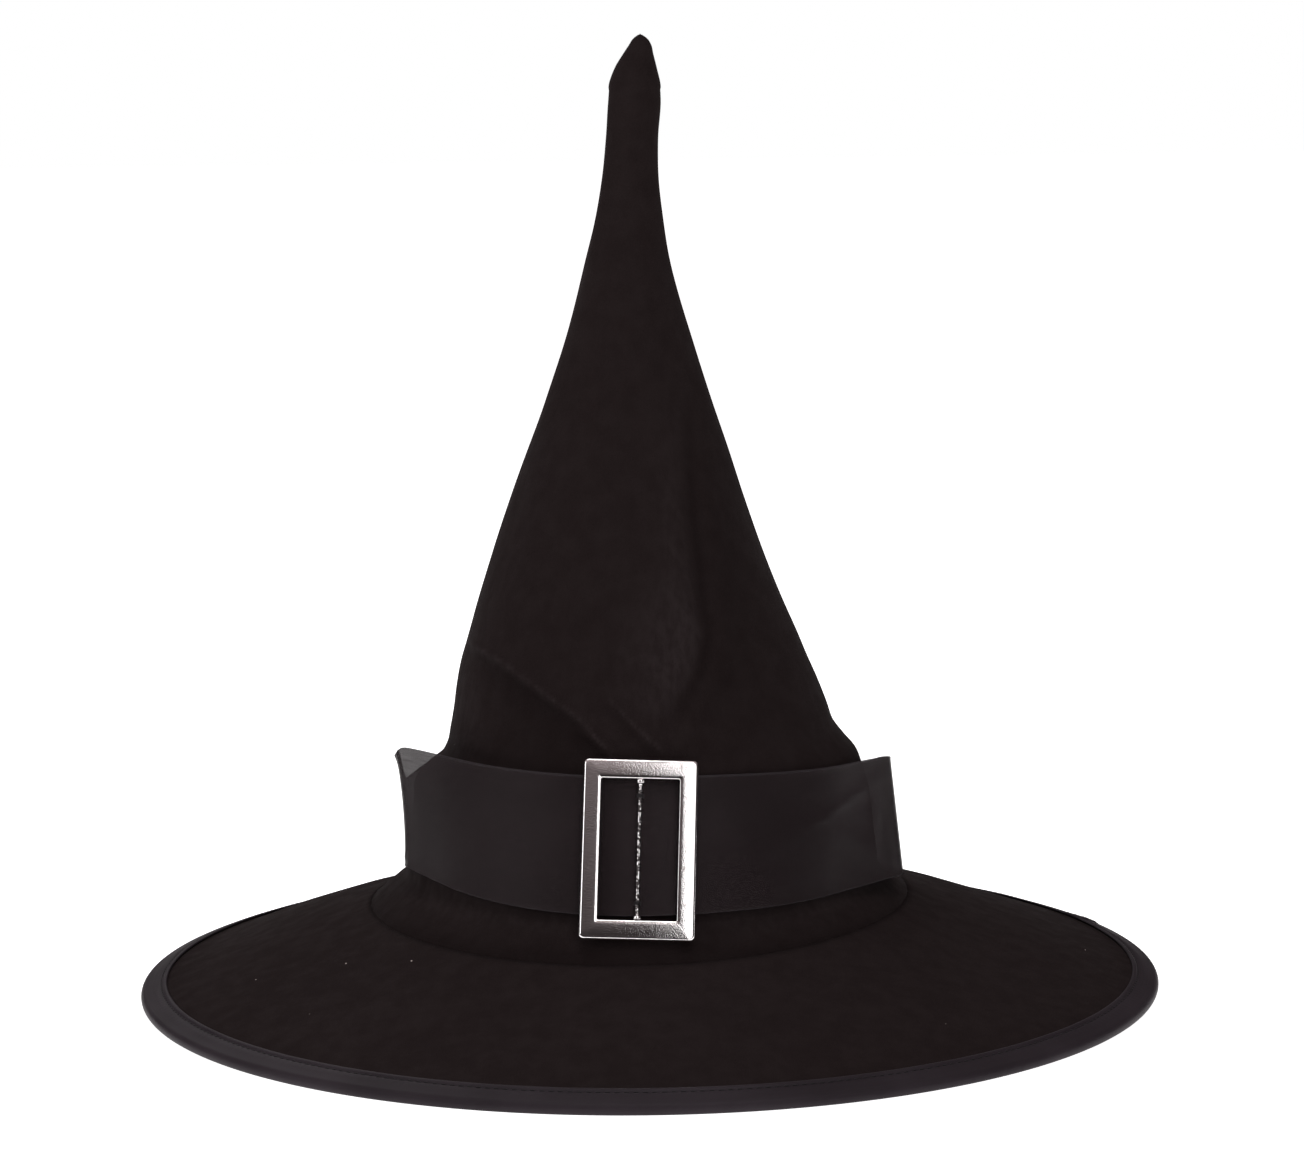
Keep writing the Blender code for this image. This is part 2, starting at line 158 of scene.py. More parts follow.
# ================================================================ Crown: velvet
# The cone is one piece of black cotton-backed velvet, cut to a pattern that flares at the foot
# and swells over a shoulder, and sewn up the back. It is creased where the hat was packed flat.
# Rows: height, left edge, right edge and half depth, in millimetres. The edges were measured,
# and the half depths are a judgement.
CROWN_ROWS = np.array([
    (31.5, -104.0, 97.0, 108.0),
    (34.5, -99.4, 93.4, 103.8),
    (38.0, -95.3, 90.0, 100.4),
    (42.0, -91.6, 87.0, 98.0),
    (50.0, -90.0, 85.6, 95.0),
    (58.0, -89.0, 84.6, 92.3),
    (72.0, -87.2, 83.0, 86.8),
    (79.0, -86.2, 81.3, 83.9),
    (83.0, -82.4, 80.0, 82.4),
    (87.0, -77.3, 78.4, 80.7),
    (91.5, -74.6, 74.6, 78.8),
    (98.0, -73.1, 69.8, 75.8),
    (105.0, -71.7, 67.4, 72.9),
    (114.0, -70.3, 63.9, 69.9),
    (123.0, -68.5, 60.0, 67.2),
    (131.5, -66.0, 56.7, 64.0),
    (144.0, -62.4, 51.5, 59.0),
    (163.0, -56.0, 44.1, 51.5),
    (182.0, -49.2, 37.6, 44.2),
    (200.0, -42.8, 31.9, 37.5),
    (219.0, -36.0, 25.4, 31.0),
    (237.0, -29.6, 19.5, 24.9),
    (255.0, -24.2, 14.3, 19.4),
    (270.0, -20.2, 11.0, 15.6),
    (285.0, -16.3, 8.9, 12.7),
    (300.0, -13.6, 7.3, 10.6),
    (315.0, -11.9, 7.3, 9.7),
    (329.0, -10.8, 8.4, 9.5),
    (335.0, -10.1, 8.0, 8.9),
    (340.0, -8.4, 7.1, 7.7),
    (345.0, -5.3, 5.9, 5.6),
    (348.5, -2.9, 5.1, 3.9),
    (350.8, -1.3, 3.6, 2.4),
    (352.0, 0.4, 1.9, 0.8),
]) / 1000
CROWN_COLUMNS = 256
FRONT_FINENESS = 0.72
CROWN_TOP = 0.352
SEAM_HEIGHT = 0.0315
SEAM_FOLLOWS_TO = 0.042
SEAM_ALLOWANCE = 0.003
VELVET_THICK = 0.0007
LINT_CELLS = 85.0
LINT_SIZE = 0.028
SEAM_RIDGE = 0.0008

# The brim's top surface, which the crown's foot meets: a shallow cone.
BRIM_RISE = 0.341
EDGE_RADIUS = 0.1877
EDGE_HEIGHT = 0.0020
STACK_TOP = 0.0013


def brim_height(radius, offset):
    """The brim's middle cone at a distance from the axis, raised square to the cone by offset."""
    return EDGE_HEIGHT + (EDGE_RADIUS - radius) * BRIM_RISE + offset * math.hypot(1, BRIM_RISE)


def through(rows, at):
    """A smooth curve through rows: cubic pieces whose slopes come from the rows on both sides."""
    place = rows[:, 0]
    values = rows[:, 1:]
    slopes = np.gradient(values, place, axis=0)
    low = np.clip(np.searchsorted(place, at, side="right") - 1, 0, len(place) - 2)
    span = (place[low + 1] - place[low])[..., None]
    part = np.asarray(at)[..., None] - place[low][..., None]
    part = part / span
    rest = 1 - part
    curve = rest ** 2 * (1 + 2 * part) * values[low] + part ** 2 * (3 - 2 * part) * values[low + 1]
    return curve + span * part * rest * (rest * slopes[low] - part * slopes[low + 1])


def ease(value, low, high):
    """Rises smoothly from 0 at low to 1 at high."""
    part = np.clip((value - low) / (high - low), 0, 1)
    return part * part * (3 - 2 * part)


def bell(value, centre, width):
    return np.exp(-((value - centre) / width) ** 2)


def beside(x, z, path):
    """Distance from a smooth line in the front view, with its sign, and the share of the line passed.

    The sign is positive on the left hand of someone who walks the line from its start."""
    path = np.array(path) / 1000
    steps = np.arange(len(path))
    fine = through(np.column_stack([steps, path]), np.linspace(0, len(path) - 1, 8 * len(path)))
    nearest = np.full(np.shape(x), np.inf)
    signed = np.zeros(np.shape(x))
    passed = np.zeros(np.shape(x))
    for i, (start, end) in enumerate(zip(fine, fine[1:])):
        run = end - start
        part = np.clip(((x - start[0]) * run[0] + (z - start[1]) * run[1]) / (run @ run), 0, 1)
        off_x = x - start[0] - part * run[0]
        off_z = z - start[1] - part * run[1]
        distance = np.hypot(off_x, off_z)
        closer = distance < nearest
        nearest = np.where(closer, distance, nearest)
        signed = np.where(closer, np.sign(run[0] * off_z - run[1] * off_x) * distance, signed)
        passed = np.where(closer, (i + part) / (len(fine) - 1), passed)
    return signed, passed


def crease(x, z, path, full, fading, gone=1.0):
    """Distance from a crease, and its strength: full from one share of its path, fading from another."""
    side, passed = beside(x, z, path)
    return side, ease(passed, 0.0, full) * (1 - ease(passed, fading, gone))


# Creases of the crown's front, as points (x, height) in millimetres.
LONG_DIAGONAL = [(-68, 132), (-52.4, 127.5), (-34, 116.5), (-23.3, 109.5), (-14, 99), (-8, 90)]
SHORT_DIAGONAL = [(-15, 119.5), (-9, 113.5), (1.3, 103.5), (8, 98)]
NEAR_DIAGONAL = [(-26, 108), (-18, 104), (-9, 98.5)]
TALL_FOLD = [(16.2, 246), (16.3, 192), (19.9, 150), (21.5, 136.4), (15.8, 120), (4, 103)]
RIGHT_POCKET = [(58, 103), (69, 95), (76, 85)]
UPPER_SWEEP = [(-22, 268), (-27, 215), (-20, 170), (-8, 140)]


def crown_folds(x, z, turn):
    """How far the crown's cloth stands off its pattern shape.

    Each crease is a bead along its line with a hollow on one side; over them lie slow swells, the
    sewn ridge at the back and the small step where the tip's stuffing ends."""
    front = ease(np.cos(turn), -0.05, 0.30)
    clear_of_band = ease(z, 0.088, 0.101)
    side, fade = crease(x, z, LONG_DIAGONAL, 0.10, 0.86)
    below = np.maximum(-side, 0)
    hollow = 0.0034 * (1 - np.exp(-below / 0.0075)) * np.exp(-below / 0.050)
    hollow = hollow * ease(x, -0.072, -0.050) * (1 - ease(x, -0.018, 0.004))
    folds = fade * (0.0009 * bell(side, 0.0006, 0.0014) + 0.0005 * bell(side, 0.004, 0.005)) - hollow
    side, fade = crease(x, z, SHORT_DIAGONAL, 0.3, 0.7)
    folds += fade * (0.0008 * bell(side, 0.0, 0.0013) - 0.0009 * bell(side, -0.0040, 0.0035))
    side, fade = crease(x, z, NEAR_DIAGONAL, 0.3, 0.7)
    folds += fade * 0.0005 * bell(side, 0.0, 0.0014)
    side, fade = crease(x, z, TALL_FOLD, 0.30, 0.85)
    folds += fade * (0.0016 * bell(side, -0.0085, 0.0075) - 0.0015 * bell(side, 0.0010, 0.0036))
    folds += fade * 0.0006 * bell(side, 0.0070, 0.0045)
    side, fade = crease(x, z, UPPER_SWEEP, 0.35, 0.6)
    folds += fade * 0.0008 * bell(side, 0.0, 0.009)
    side, passed = beside(x, z, RIGHT_POCKET)
    folds += ease(passed, 0.0, 0.4) * (0.0009 * bell(side, 0.003, 0.004) - 0.0016 * bell(side, -0.003, 0.003))
    swell = np.sin(3 * turn + 38 * z + 0.6) + 0.7 * np.sin(5 * turn - 61 * z + 2.1)
    swell += 0.5 * np.sin(8 * turn + 90 * z + 4.0)
    steady = ease(z, 0.096, 0.125) * (1 - ease(z, 0.24, 0.31))
    folds = front * folds * clear_of_band + 0.0003 * swell * steady
    back_folds = np.sin(4 * turn + 55 * z) * ease(-np.cos(turn), 0.1, 0.7)
    folds += 0.0007 * back_folds * steady
    folds += 0.0003 * (ease(z, 0.3322, 0.3332) - ease(z, 0.3332, 0.3400))
    off_seam = (math.pi - np.abs(turn)) * 0.35 * ease(0.36 - z, 0.0, 0.2) + (math.pi - np.abs(turn)) * 0.02
    folds += SEAM_RIDGE * (bell(off_seam, 0, 0.006) - 1.3 * bell(off_seam, 0, 0.0016)) * ease(z, 0.034, 0.1)
    return folds


def crown_wall(turn, level):
    """The crown's outer face and its outward directions, as (levels, turns, 3) arrays.

    A point at a turn from the front and a level goes sideways by the sine and forwards by the
    cosine of the turn, to the pattern's edges at that level; the foot is lifted to lie along the
    brim, and the folds then move it square to the wall."""
    left, right, depth = np.moveaxis(through(CROWN_ROWS, level), -1, 0)[..., None]
    x = (left + right) / 2 + (right - left) / 2 * np.sin(turn)
    y = -depth * np.cos(turn)
    follow = np.clip(1 - (level - SEAM_HEIGHT) / (SEAM_FOLLOWS_TO - SEAM_HEIGHT), 0, 1)[:, None]
    z = level[:, None] + follow * (brim_height(np.hypot(x, y), STACK_TOP) - SEAM_HEIGHT)
    wall = np.stack([x, y, z], axis=-1)
    outward = facing(wall)
    wall = wall + crown_folds(x, z, turn)[..., None] * outward
    return wall, facing(wall)


def facing(wall):
    """Unit vectors square to a wall of points that closes round on itself."""
    along = np.roll(wall, -1, axis=1) - np.roll(wall, 1, axis=1)
    up = np.gradient(wall, axis=0)
    square = np.cross(along, up)
    return square / np.maximum(np.linalg.norm(square, axis=-1, keepdims=True), 1e-12)


def ring_mesh(name, rings, flat=None, closed=False):
    """A smooth skin over rings of points, in an array of (rings, columns, 3) or of several such.

    Each ring is joined to the next and to its own start. A closed skin joins its last ring to its
    first; any other is shut by a point at each end. flat gives every ring's place on the cut cloth
    in metres, with one column more than the rings, and one ring more on a closed skin."""
    rings = np.asarray(rings, float)
    if rings.ndim == 3:
        rings = rings[None]
    parts, count, columns = rings.shape[:3]
    points = rings.reshape(-1, 3)
    index = np.arange(len(points)).reshape(parts, count, columns)
    if closed:
        index = np.concatenate([index, index[:, :1]], axis=1)
    index = np.concatenate([index, index[:, :, :1]], axis=2)
    quads = np.stack([index[:, :-1, :-1], index[:, :-1, 1:], index[:, 1:, 1:], index[:, 1:, :-1]], axis=-1)
    quads = quads.reshape(-1, 4)
    tips = np.zeros((0, 3), int)
    if not closed:
        ends = rings[:, [0, -1]].mean(axis=2)
        start_tip = len(points) + 2 * np.arange(parts)[:, None] + 0 * index[:, 0, 1:]
        points = np.concatenate([points, ends.reshape(-1, 3)])
        tips = np.concatenate([
            np.stack([index[:, 0, 1:], index[:, 0, :-1], start_tip], axis=-1).reshape(-1, 3),
            np.stack([index[:, -1, :-1], index[:, -1, 1:], start_tip + 1], axis=-1).reshape(-1, 3)])
    thirds = np.concatenate([quads[:, [0, 1, 2]], quads[:, [0, 2, 3]], tips])
    a, b, c = np.moveaxis(points[thirds], 1, 0)
    if np.einsum("ij,ij->", a, np.cross(b, c)) < 0:
        quads = quads[:, ::-1]
        tips = tips[:, ::-1]
    mesh = bpy.data.meshes.new(name)
    mesh.vertices.add(len(points))
    mesh.vertices.foreach_set("co", points.ravel())
    mesh.loops.add(quads.size + tips.size)
    mesh.loops.foreach_set("vertex_index", np.concatenate([quads.ravel(), tips.ravel()]))
    mesh.polygons.add(len(quads) + len(tips))
    starts = np.concatenate([4 * np.arange(len(quads)), quads.size + 3 * np.arange(len(tips))])
    mesh.polygons.foreach_set("loop_start", starts)
    if flat is not None:
        lay_out(mesh, flat, quads, index, len(tips))
    mesh.update(calc_edges=True)
    mesh.validate()
    mesh.shade_smooth()
    piece = bpy.data.objects.new(name, mesh)
    bpy.context.scene.collection.objects.link(piece)
    return piece


def lay_out(mesh, flat, quads, index, tip_count):
    """Writes the cloth's flat places to a UV map, corner by corner, in the quads' own order."""
    corners = np.stack([flat[:-1, :-1], flat[:-1, 1:], flat[1:, 1:], flat[1:, :-1]], axis=-2)
    corners = np.broadcast_to(corners, (len(index), *corners.shape)).reshape(-1, 4, 2)
    if (quads[0] != np.array([index[0, 0, 0], index[0, 0, 1], index[0, 1, 1], index[0, 1, 0]])).any():
        corners = corners[:, ::-1]
    layer = mesh.uv_layers.new(name="flat")
    places = np.concatenate([corners.reshape(-1, 2), np.zeros((3 * tip_count, 2))])
    layer.data.foreach_set("uv", places.ravel())


class Amount:
    """A value that varies over a surface: a shader socket whose operators add Math nodes."""

    def __init__(self, finish, socket):
        self.finish = finish
        self.socket = socket

    def math(self, operation, *others):
        return self.finish.node("Math", {"operation": operation}, dict(enumerate((self, *others))))

    def __add__(self, other):
        return self.math("ADD", other)

    def __mul__(self, other):
        return self.math("MULTIPLY", other)

    def __sub__(self, other):
        return self.math("SUBTRACT", other)

    def __rsub__(self, other):
        return self.finish.node("Math", {"operation": "SUBTRACT"}, {0: other, 1: self})

    __radd__ = __add__
    __rmul__ = __mul__

    def sine(self):
        return self.math("SINE")

    def rising(self, low, high):
        """Goes smoothly from 0 at low to 1 at high."""
        ends = {"Value": self, "From Min": low, "From Max": high}
        return self.finish.node("MapRange", {"interpolation_type": "SMOOTHSTEP"}, ends)


class Finish:
    """A cloth, thread or metal finish: one Principled material and the nodes that feed it."""

    def __init__(self, name, **even):
        self.material = bpy.data.materials.new(name)
        self.material.use_nodes = True
        self.tree = self.material.node_tree
        self.shader = self.tree.nodes["Principled BSDF"]
        self.object = self.node("TexCoord", output="Object")
        self.flat = self.node("TexCoord", output="UV")
        for socket, value in even.items():
            self.set(socket.replace("_", " "), value)

    def node(self, kind, settings=None, inputs=None, output=0):
        made = self.tree.nodes.new("ShaderNode" + kind)
        for key, value in (settings or {}).items():
            setattr(made, key, value)
        for key, value in (inputs or {}).items():
            self.feed(made.inputs[key], value)
        return Amount(self, made.outputs[output])

    def feed(self, socket, value):
        if isinstance(value, Amount):
            self.tree.links.new(value.socket, socket)
        elif hasattr(value, "__len__") and len(socket.default_value) == 4:
            socket.default_value = (*value, 1.0)
        else:
            socket.default_value = value

    def set(self, socket, value):
        self.feed(self.shader.inputs[socket], value)

    def noise(self, scale, detail=2.0, stretch=None, over=None):
        """Noise from 0 to 1 over the piece, or over other places; stretch scales its three axes."""
        place = over or self.object
        if stretch:
            place = self.node("Mapping", None, {"Vector": place, "Scale": stretch})
        return self.node("TexNoise", None, {"Vector": place, "Scale": scale, "Detail": detail})

    def part(self, place, axis="X"):
        """One of the three numbers of a place."""
        return self.node("SeparateXYZ", None, {0: place}, output=axis)

    def blend(self, mask, low, high):
        return self.node("Mix", {"data_type": "RGBA"}, {0: mask, 6: low, 7: high}, output=2)

    def relief(self, height, depth, strength=1.0):
        """Bumps of a depth in metres, from a height of 0 to 1."""
        sockets = {"Height": height, "Distance": depth, "Strength": strength}
        self.set("Normal", self.node("Bump", None, sockets))


def velvet(name, dark, light, lint_share):
    """Cut pile: a matt ground mottled where the pile lies over, with specks of lint.

    Where the piece's painted_light_and_shade value is positive its colour is lifted towards a painted
    highlight, and where it is negative it is darkened to painted shade."""
    pile = Finish(name, Sheen_Weight=0.006, Sheen_Roughness=0.45, Sheen_Tint=(1.0, 0.90, 0.92),
                  Specular_IOR_Level=0.03)
    pressed = pile.noise(130.0, 5.0)
    broad = pile.noise(24.0, 2.0)
    streaks = pile.noise(360.0, 4.0, stretch=(1.0, 1.0, 0.35))
    fibres = pile.noise(1900.0, 2.0)
    lie = (0.72 * pressed + 0.28 * broad).rising(0.34, 0.68)
    ground = pile.blend(0.24 * lie + 0.30 * streaks + 0.66 * fibres, dark, light)
    # Painted light and shade: the value stored on the piece lifts the pile's colour to a painted highlight
    # where it is above zero, and darkens it to painted shade where it is below zero.
    painted_light_and_shade = pile.node("Attribute", {"attribute_name": "painted_light_and_shade"}, output="Fac")
    painted_highlight_mask = painted_light_and_shade * (0.45 + 1.1 * streaks.rising(0.30, 0.70))
    ground = pile.blend(painted_highlight_mask, ground, (0.0265, 0.0205, 0.0210))
    ground = pile.blend(0 - painted_light_and_shade, ground, (0.0062, 0.0040, 0.0040))
    cells = pile.node("TexVoronoi", None, {"Vector": pile.object, "Scale": LINT_CELLS})
    lucky = pile.node("TexVoronoi", None, {"Vector": pile.object, "Scale": LINT_CELLS}, output="Color")
    chosen = pile.part(lucky)
    speck = (1 - cells.rising(0.6 * LINT_SIZE, LINT_SIZE)) * chosen.rising(1 - lint_share, 1.02 - lint_share)
    pile.set("Base Color", pile.blend(speck, ground, (0.85, 0.74, 0.70)))
    pile.set("Roughness", 0.98 - 0.16 * lie)
    pile.relief(0.55 * fibres + 0.45 * streaks, 0.00035, 0.55)
    return pile.material


def crown_painted_light_and_shade(x, y, z):
    """Painted light and shade for the crown's creases, at points on its front.

    The long crease gets a beaded painted highlight along its ridge and painted shade in the hollow under it;
    the tall fold gets painted shade along it, with a painted lit patch at its left; short ridges that run
    down to the buckle get painted highlights with painted shade just below. All round, the foot gets a
    band of painted light just above it and painted shade along the seam."""
    # Painted highlight in beads along the long crease's ridge, and painted shade in the hollow under it.
    side, passed = beside(x, z, LONG_DIAGONAL)
    fade = ease(passed, 0.0, 0.08) * (1 - ease(passed, 0.90, 1.0))
    beads = 0.55 + 0.45 * np.sin(170 * passed) * np.sin(61 * passed + 1.0)
    turned = fade * 0.55 * beads * bell(side, 0.0006, 0.0007)
    below = np.maximum(-side, 0)
    hollow = 0.62 * ease(below, 0.0, 0.0022) * np.exp(-below / 0.022)
    turned -= hollow * ease(x, -0.070, -0.045) * (1 - ease(x, -0.022, 0.0))
    # Painted shade along the tall fold and to its right, with a painted lit patch at its left.
    side, fade = crease(x, z, TALL_FOLD, 0.30, 0.72, 0.95)
    turned += fade * (0.22 * bell(side, -0.0060, 0.0050) - 0.46 * bell(side, 0.0008, 0.0020)
                      - 0.25 * bell(side, 0.010, 0.009))
    # Painted highlights on the short ridges, with painted shade just below each.
    for path, strength in ((SHORT_DIAGONAL, 0.36), (NEAR_DIAGONAL, 0.26)):
        side, fade = crease(x, z, path, 0.25, 0.75)
        turned += strength * fade * (bell(side, 0.0, 0.0007) - 0.8 * bell(side, -0.0026, 0.0018))
    # Painted light on two raised patches: one right of the middle, one at the left under the long crease.
    turned += 0.33 * np.exp(-((x - 0.007) / 0.013) ** 2 - ((z - 0.133 - 0.4 * (x - 0.007)) / 0.024) ** 2)
    turned += 0.20 * np.exp(-((x + 0.064) / 0.012) ** 2 - ((z - 0.105) / 0.020) ** 2)
    # A band of painted light just above the foot, and painted shade along the seam at the very foot.
    foot = 0.22 * ease(z, 0.036, 0.042) * (1 - ease(z, 0.046, 0.055)) - 0.35 * (1 - ease(z, 0.0330, 0.0355))
    return turned * (y < 0) + foot


def brim_painted_shade(x, y, z):
    """Painted shade on the brim's pile beside the crown's seam."""
    _, left, right, depth = CROWN_ROWS[0]
    off_seam = (np.hypot((x - (left + right) / 2) / (right - left) * 2, y / depth) - 1) * depth
    return -0.40 * (1 - ease(off_seam, 0.0004, 0.0026))


def store(piece, name, rule):
    """Stores at every point of a piece the value a rule gives for its x, y and z."""
    places = np.empty(3 * len(piece.data.vertices))
    piece.data.vertices.foreach_get("co", places)
    layer = piece.data.attributes.new(name, "FLOAT", "POINT")
    layer.data.foreach_set("value", rule(*places.reshape(-1, 3).T))


def add_piece(piece, material, body, slot, *nodes):
    piece.data.materials.append(material)
    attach(piece, body)
    if nodes:
        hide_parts(*nodes)
    return piece


spread = np.linspace(-1, 1, CROWN_COLUMNS, endpoint=False)
crown_turn = math.pi * (FRONT_FINENESS * spread + (1 - FRONT_FINENESS) * spread ** 3)
crown_level = np.concatenate([np.linspace(0.0315, 0.0850, 26), np.linspace(0.0861, 0.1500, 62),
                              np.linspace(0.1522, 0.3310, 84), np.linspace(0.3320, 0.3520, 22)])
crown_face, crown_out = crown_wall(crown_turn, crown_level)


def crown_layer(outer, inner, top, skirt=0.0):
    """A shell between two depths under the crown's face, open at its foot and shut at its top.

    The inner wall runs down to the foot, a skirt may hang from there as the seam's turning, and
    the outer wall runs back up."""
    kept = crown_level <= top
    face = crown_face[kept]
    out = crown_out[kept]
    outside = face - outer * out
    inside = (face - inner * out)[:-2]
    if skirt:
        drop = np.array([0.0, 0.0, skirt])
        outside = np.concatenate([outside[:1] - drop, outside])
        inside = np.concatenate([inside[:1] - drop, inside])
    return np.concatenate([inside[::-1], outside])


crown_velvet = ring_mesh("crown_velvet", crown_layer(0.0, VELVET_THICK, CROWN_TOP, SEAM_ALLOWANCE))
# The crown's creases and foot get painted light and shade in the pile's colour.
store(crown_velvet, "painted_light_and_shade", crown_painted_light_and_shade)
add_piece(crown_velvet, velvet("crown_pile", (0.0088, 0.0058, 0.0058), (0.0162, 0.0116, 0.0117), 0.06),
          "hat", "velvet", "crown_cone")

# ================================================================ Crown: backing, lining, wadding
# Under the velvet is a stiff felted backing that makes the crown stand, then a thin woven lining
# closed below the tip. A plug of loose fibre, kept from the frame, rounds out the tip itself.
BACKING = (0.0010, 0.0020)
LINING = (0.0023, 0.0027)
LINING_TOP = 0.290
BACKING_TOP = 0.3485


def felted(name, dark, light):
    """Bonded fibre: a flat matt ground with tangled short hairs."""
    felt = Finish(name, Roughness=0.95, Sheen_Weight=0.1)
    hairs = felt.noise(900.0, 5.0, stretch=(1.0, 0.4, 1.0))
    clumps = felt.noise(120.0, 3.0)
    felt.set("Base Color", felt.blend(0.6 * hairs + 0.5 * clumps, dark, light))
    felt.relief(hairs, 0.0003, 0.7)
    return felt.material


def plain_weave(name, dark, light, pitch):
    """Woven cloth: threads over and under, as the product of a wave along and a wave up."""
    cloth = Finish(name, Sheen_Weight=0.08)
    along = cloth.part(cloth.flat)
    across = cloth.part(cloth.flat, "Y")
    turns = 2 * math.pi / pitch
    weave = 0.5 + 0.5 * ((along * turns).sine() * (across * turns).sine())
    slubs = cloth.noise(260.0, 3.0, stretch=(1.0, 1.0, 0.2))
    cloth.set("Base Color", cloth.blend(0.45 * weave + 0.6 * slubs, dark, light))
    cloth.set("Roughness", 0.50 + 0.15 * slubs)
    cloth.relief(weave, 0.00012, 0.6)
    return cloth.material


def unroll(rings, closed=False):
    """Each ring's flat place: the distance round it, and the distance up from the first ring.

    On a closed skin the first ring comes again at the end."""
    if closed:
        rings = np.concatenate([rings, rings[:1]])
    around = np.linalg.norm(np.diff(rings, axis=1, append=rings[:, :1]), axis=-1)
    around = np.concatenate([np.zeros((len(rings), 1)), np.cumsum(around, axis=1)], axis=1)
    up = np.linalg.norm(np.diff(rings, axis=0, prepend=rings[:1]), axis=-1).mean(axis=1)
    up = np.broadcast_to(np.cumsum(up)[:, None], around.shape)
    return np.stack([around, up], axis=-1)


felt_grey = felted("backing_felt", (0.075, 0.075, 0.078), (0.150, 0.150, 0.150))
crown_backing = ring_mesh("crown_backing", crown_layer(*BACKING, BACKING_TOP))
add_piece(crown_backing, felt_grey, "hat", "interlining", "crown_interlining")

lining_rings = crown_layer(*LINING, LINING_TOP)
lining_cloth = plain_weave("lining_weave", (0.010, 0.009, 0.010), (0.034, 0.031, 0.034), 0.0009)
crown_lining_cloth = ring_mesh("crown_lining_cloth", lining_rings, unroll(lining_rings))
add_piece(crown_lining_cloth, lining_cloth, "hat", "lining", "crown_lining")


def refinish(node, finish):
    """Gives one of the frame's own shapes a worked finish."""
    materials = frame["nodes"][node].data.materials
    materials.clear()
    materials.append(finish.material)


loose_fibre = Finish("loose_fibre", Roughness=1.0, Sheen_Weight=0.3)
tangle = loose_fibre.noise(500.0, 6.0)
loose_fibre.set("Base Color", loose_fibre.blend(tangle, (0.55, 0.54, 0.52), (0.82, 0.81, 0.79)))
loose_fibre.relief(tangle, 0.001)
refinish("tip_wadding", loose_fibre)

# ================================================================ Brim
# Three cut rings are glued face to face: velvet on top, a stiff core, and a lining below. They
# slope down as a shallow cone from the crown's foot to the edge, with slight waves where the
# glue has let the cloth ease.
BRIM_COLUMNS = 256
LAYER_GAP = 0.0003
PILE_GAP = 0.00004
BRIM_CORE_HALF = 0.0004
BRIM_LAYER_END = 0.18585
BRIM_TOP_RINGS = 44


def brim_waves(radius, turn):
    """Slow waves round the brim that die out at the seam and before the edge."""
    loose = ease(radius, 0.112, 0.130) * (1 - ease(radius, 0.158, 0.176))
    slow = np.sin(3 * turn + 0.8) + 0.7 * np.sin(5 * turn + 40 * radius) + 0.45 * np.sin(9 * turn + 2.0)
    return 0.0006 * loose * slow


def brim_layer(low, high, count, gap=LAYER_GAP):
    """A sloping ring between two heights off the brim's middle cone, as a closed loop of rings.

    Its inner edge follows the crown's foot at a gap outside the seam, and its outer edge is a
    circle. The velvet's gap is next to nothing, as its pile closes over the seam."""
    turn = 2 * math.pi * np.arange(BRIM_COLUMNS) / BRIM_COLUMNS
    _, left, right, depth = CROWN_ROWS[0]
    share = np.linspace(0, 1, count)[:, None]
    inner_x = (left + right) / 2 + ((right - left) / 2 + gap) * np.sin(turn)
    inner_y = -(depth + gap) * np.cos(turn)
    x = inner_x + share * (BRIM_LAYER_END * np.sin(turn) - inner_x)
    y = inner_y + share * (-BRIM_LAYER_END * np.cos(turn) - inner_y)
    radius = np.hypot(x, y)
    waves = brim_waves(radius, turn)
    top = np.stack([x, y, brim_height(radius, high) + waves], axis=-1)
    bottom = np.stack([x, y, brim_height(radius, low) + waves], axis=-1)
    return np.concatenate([top, bottom[::-1]])


velvet_rings = brim_layer(BRIM_CORE_HALF + LAYER_GAP, STACK_TOP, BRIM_TOP_RINGS, PILE_GAP)
brim_velvet = ring_mesh("brim_velvet", velvet_rings, closed=True)
# Painted shade on the brim's pile beside the crown's seam.
store(brim_velvet, "painted_light_and_shade", brim_painted_shade)
add_piece(brim_velvet, velvet("brim_pile", (0.0105, 0.0072, 0.0072), (0.0200, 0.0145, 0.0147), 0.42),
          "hat", "velvet", "brim_top")
brim_core = ring_mesh("brim_core", brim_layer(-BRIM_CORE_HALF, BRIM_CORE_HALF, 24), closed=True)
add_piece(brim_core, felt_grey, "hat", "interlining", "brim_interlining")
under_rings = brim_layer(-0.0012, -BRIM_CORE_HALF - LAYER_GAP, 24)
brim_lining = ring_mesh("brim_lining", under_rings, unroll(under_rings, True), closed=True)
add_piece(brim_lining, lining_cloth, "hat", "lining", "brim_underside")

# ================================================================ Edge wire and its sleeve
# A hoop of drawn spring steel keeps the brim level. Its ends meet in a crimped sleeve. Both are
# the frame's own shapes with a worked metal finish.
drawn_steel = Finish("drawn_steel", Metallic=1.0)
scratches = drawn_steel.noise(700.0, 3.0, stretch=(1.0, 1.0, 6.0))
drawn_steel.set("Base Color", drawn_steel.blend(scratches, (0.30, 0.30, 0.31), (0.52, 0.52, 0.53)))
drawn_steel.set("Roughness", 0.22 + 0.25 * scratches)
refinish("brim_wire", drawn_steel)

crimped = Finish("crimped_tube", Metallic=1.0)
dents = crimped.noise(420.0, 2.0)
crimped.set("Base Color", crimped.blend(dents, (0.42, 0.42, 0.43), (0.62, 0.62, 0.63)))
crimped.set("Roughness", 0.2 + 0.3 * dents)
crimped.relief(dents, 0.0002, 0.6)
refinish("wire_sleeve", crimped)

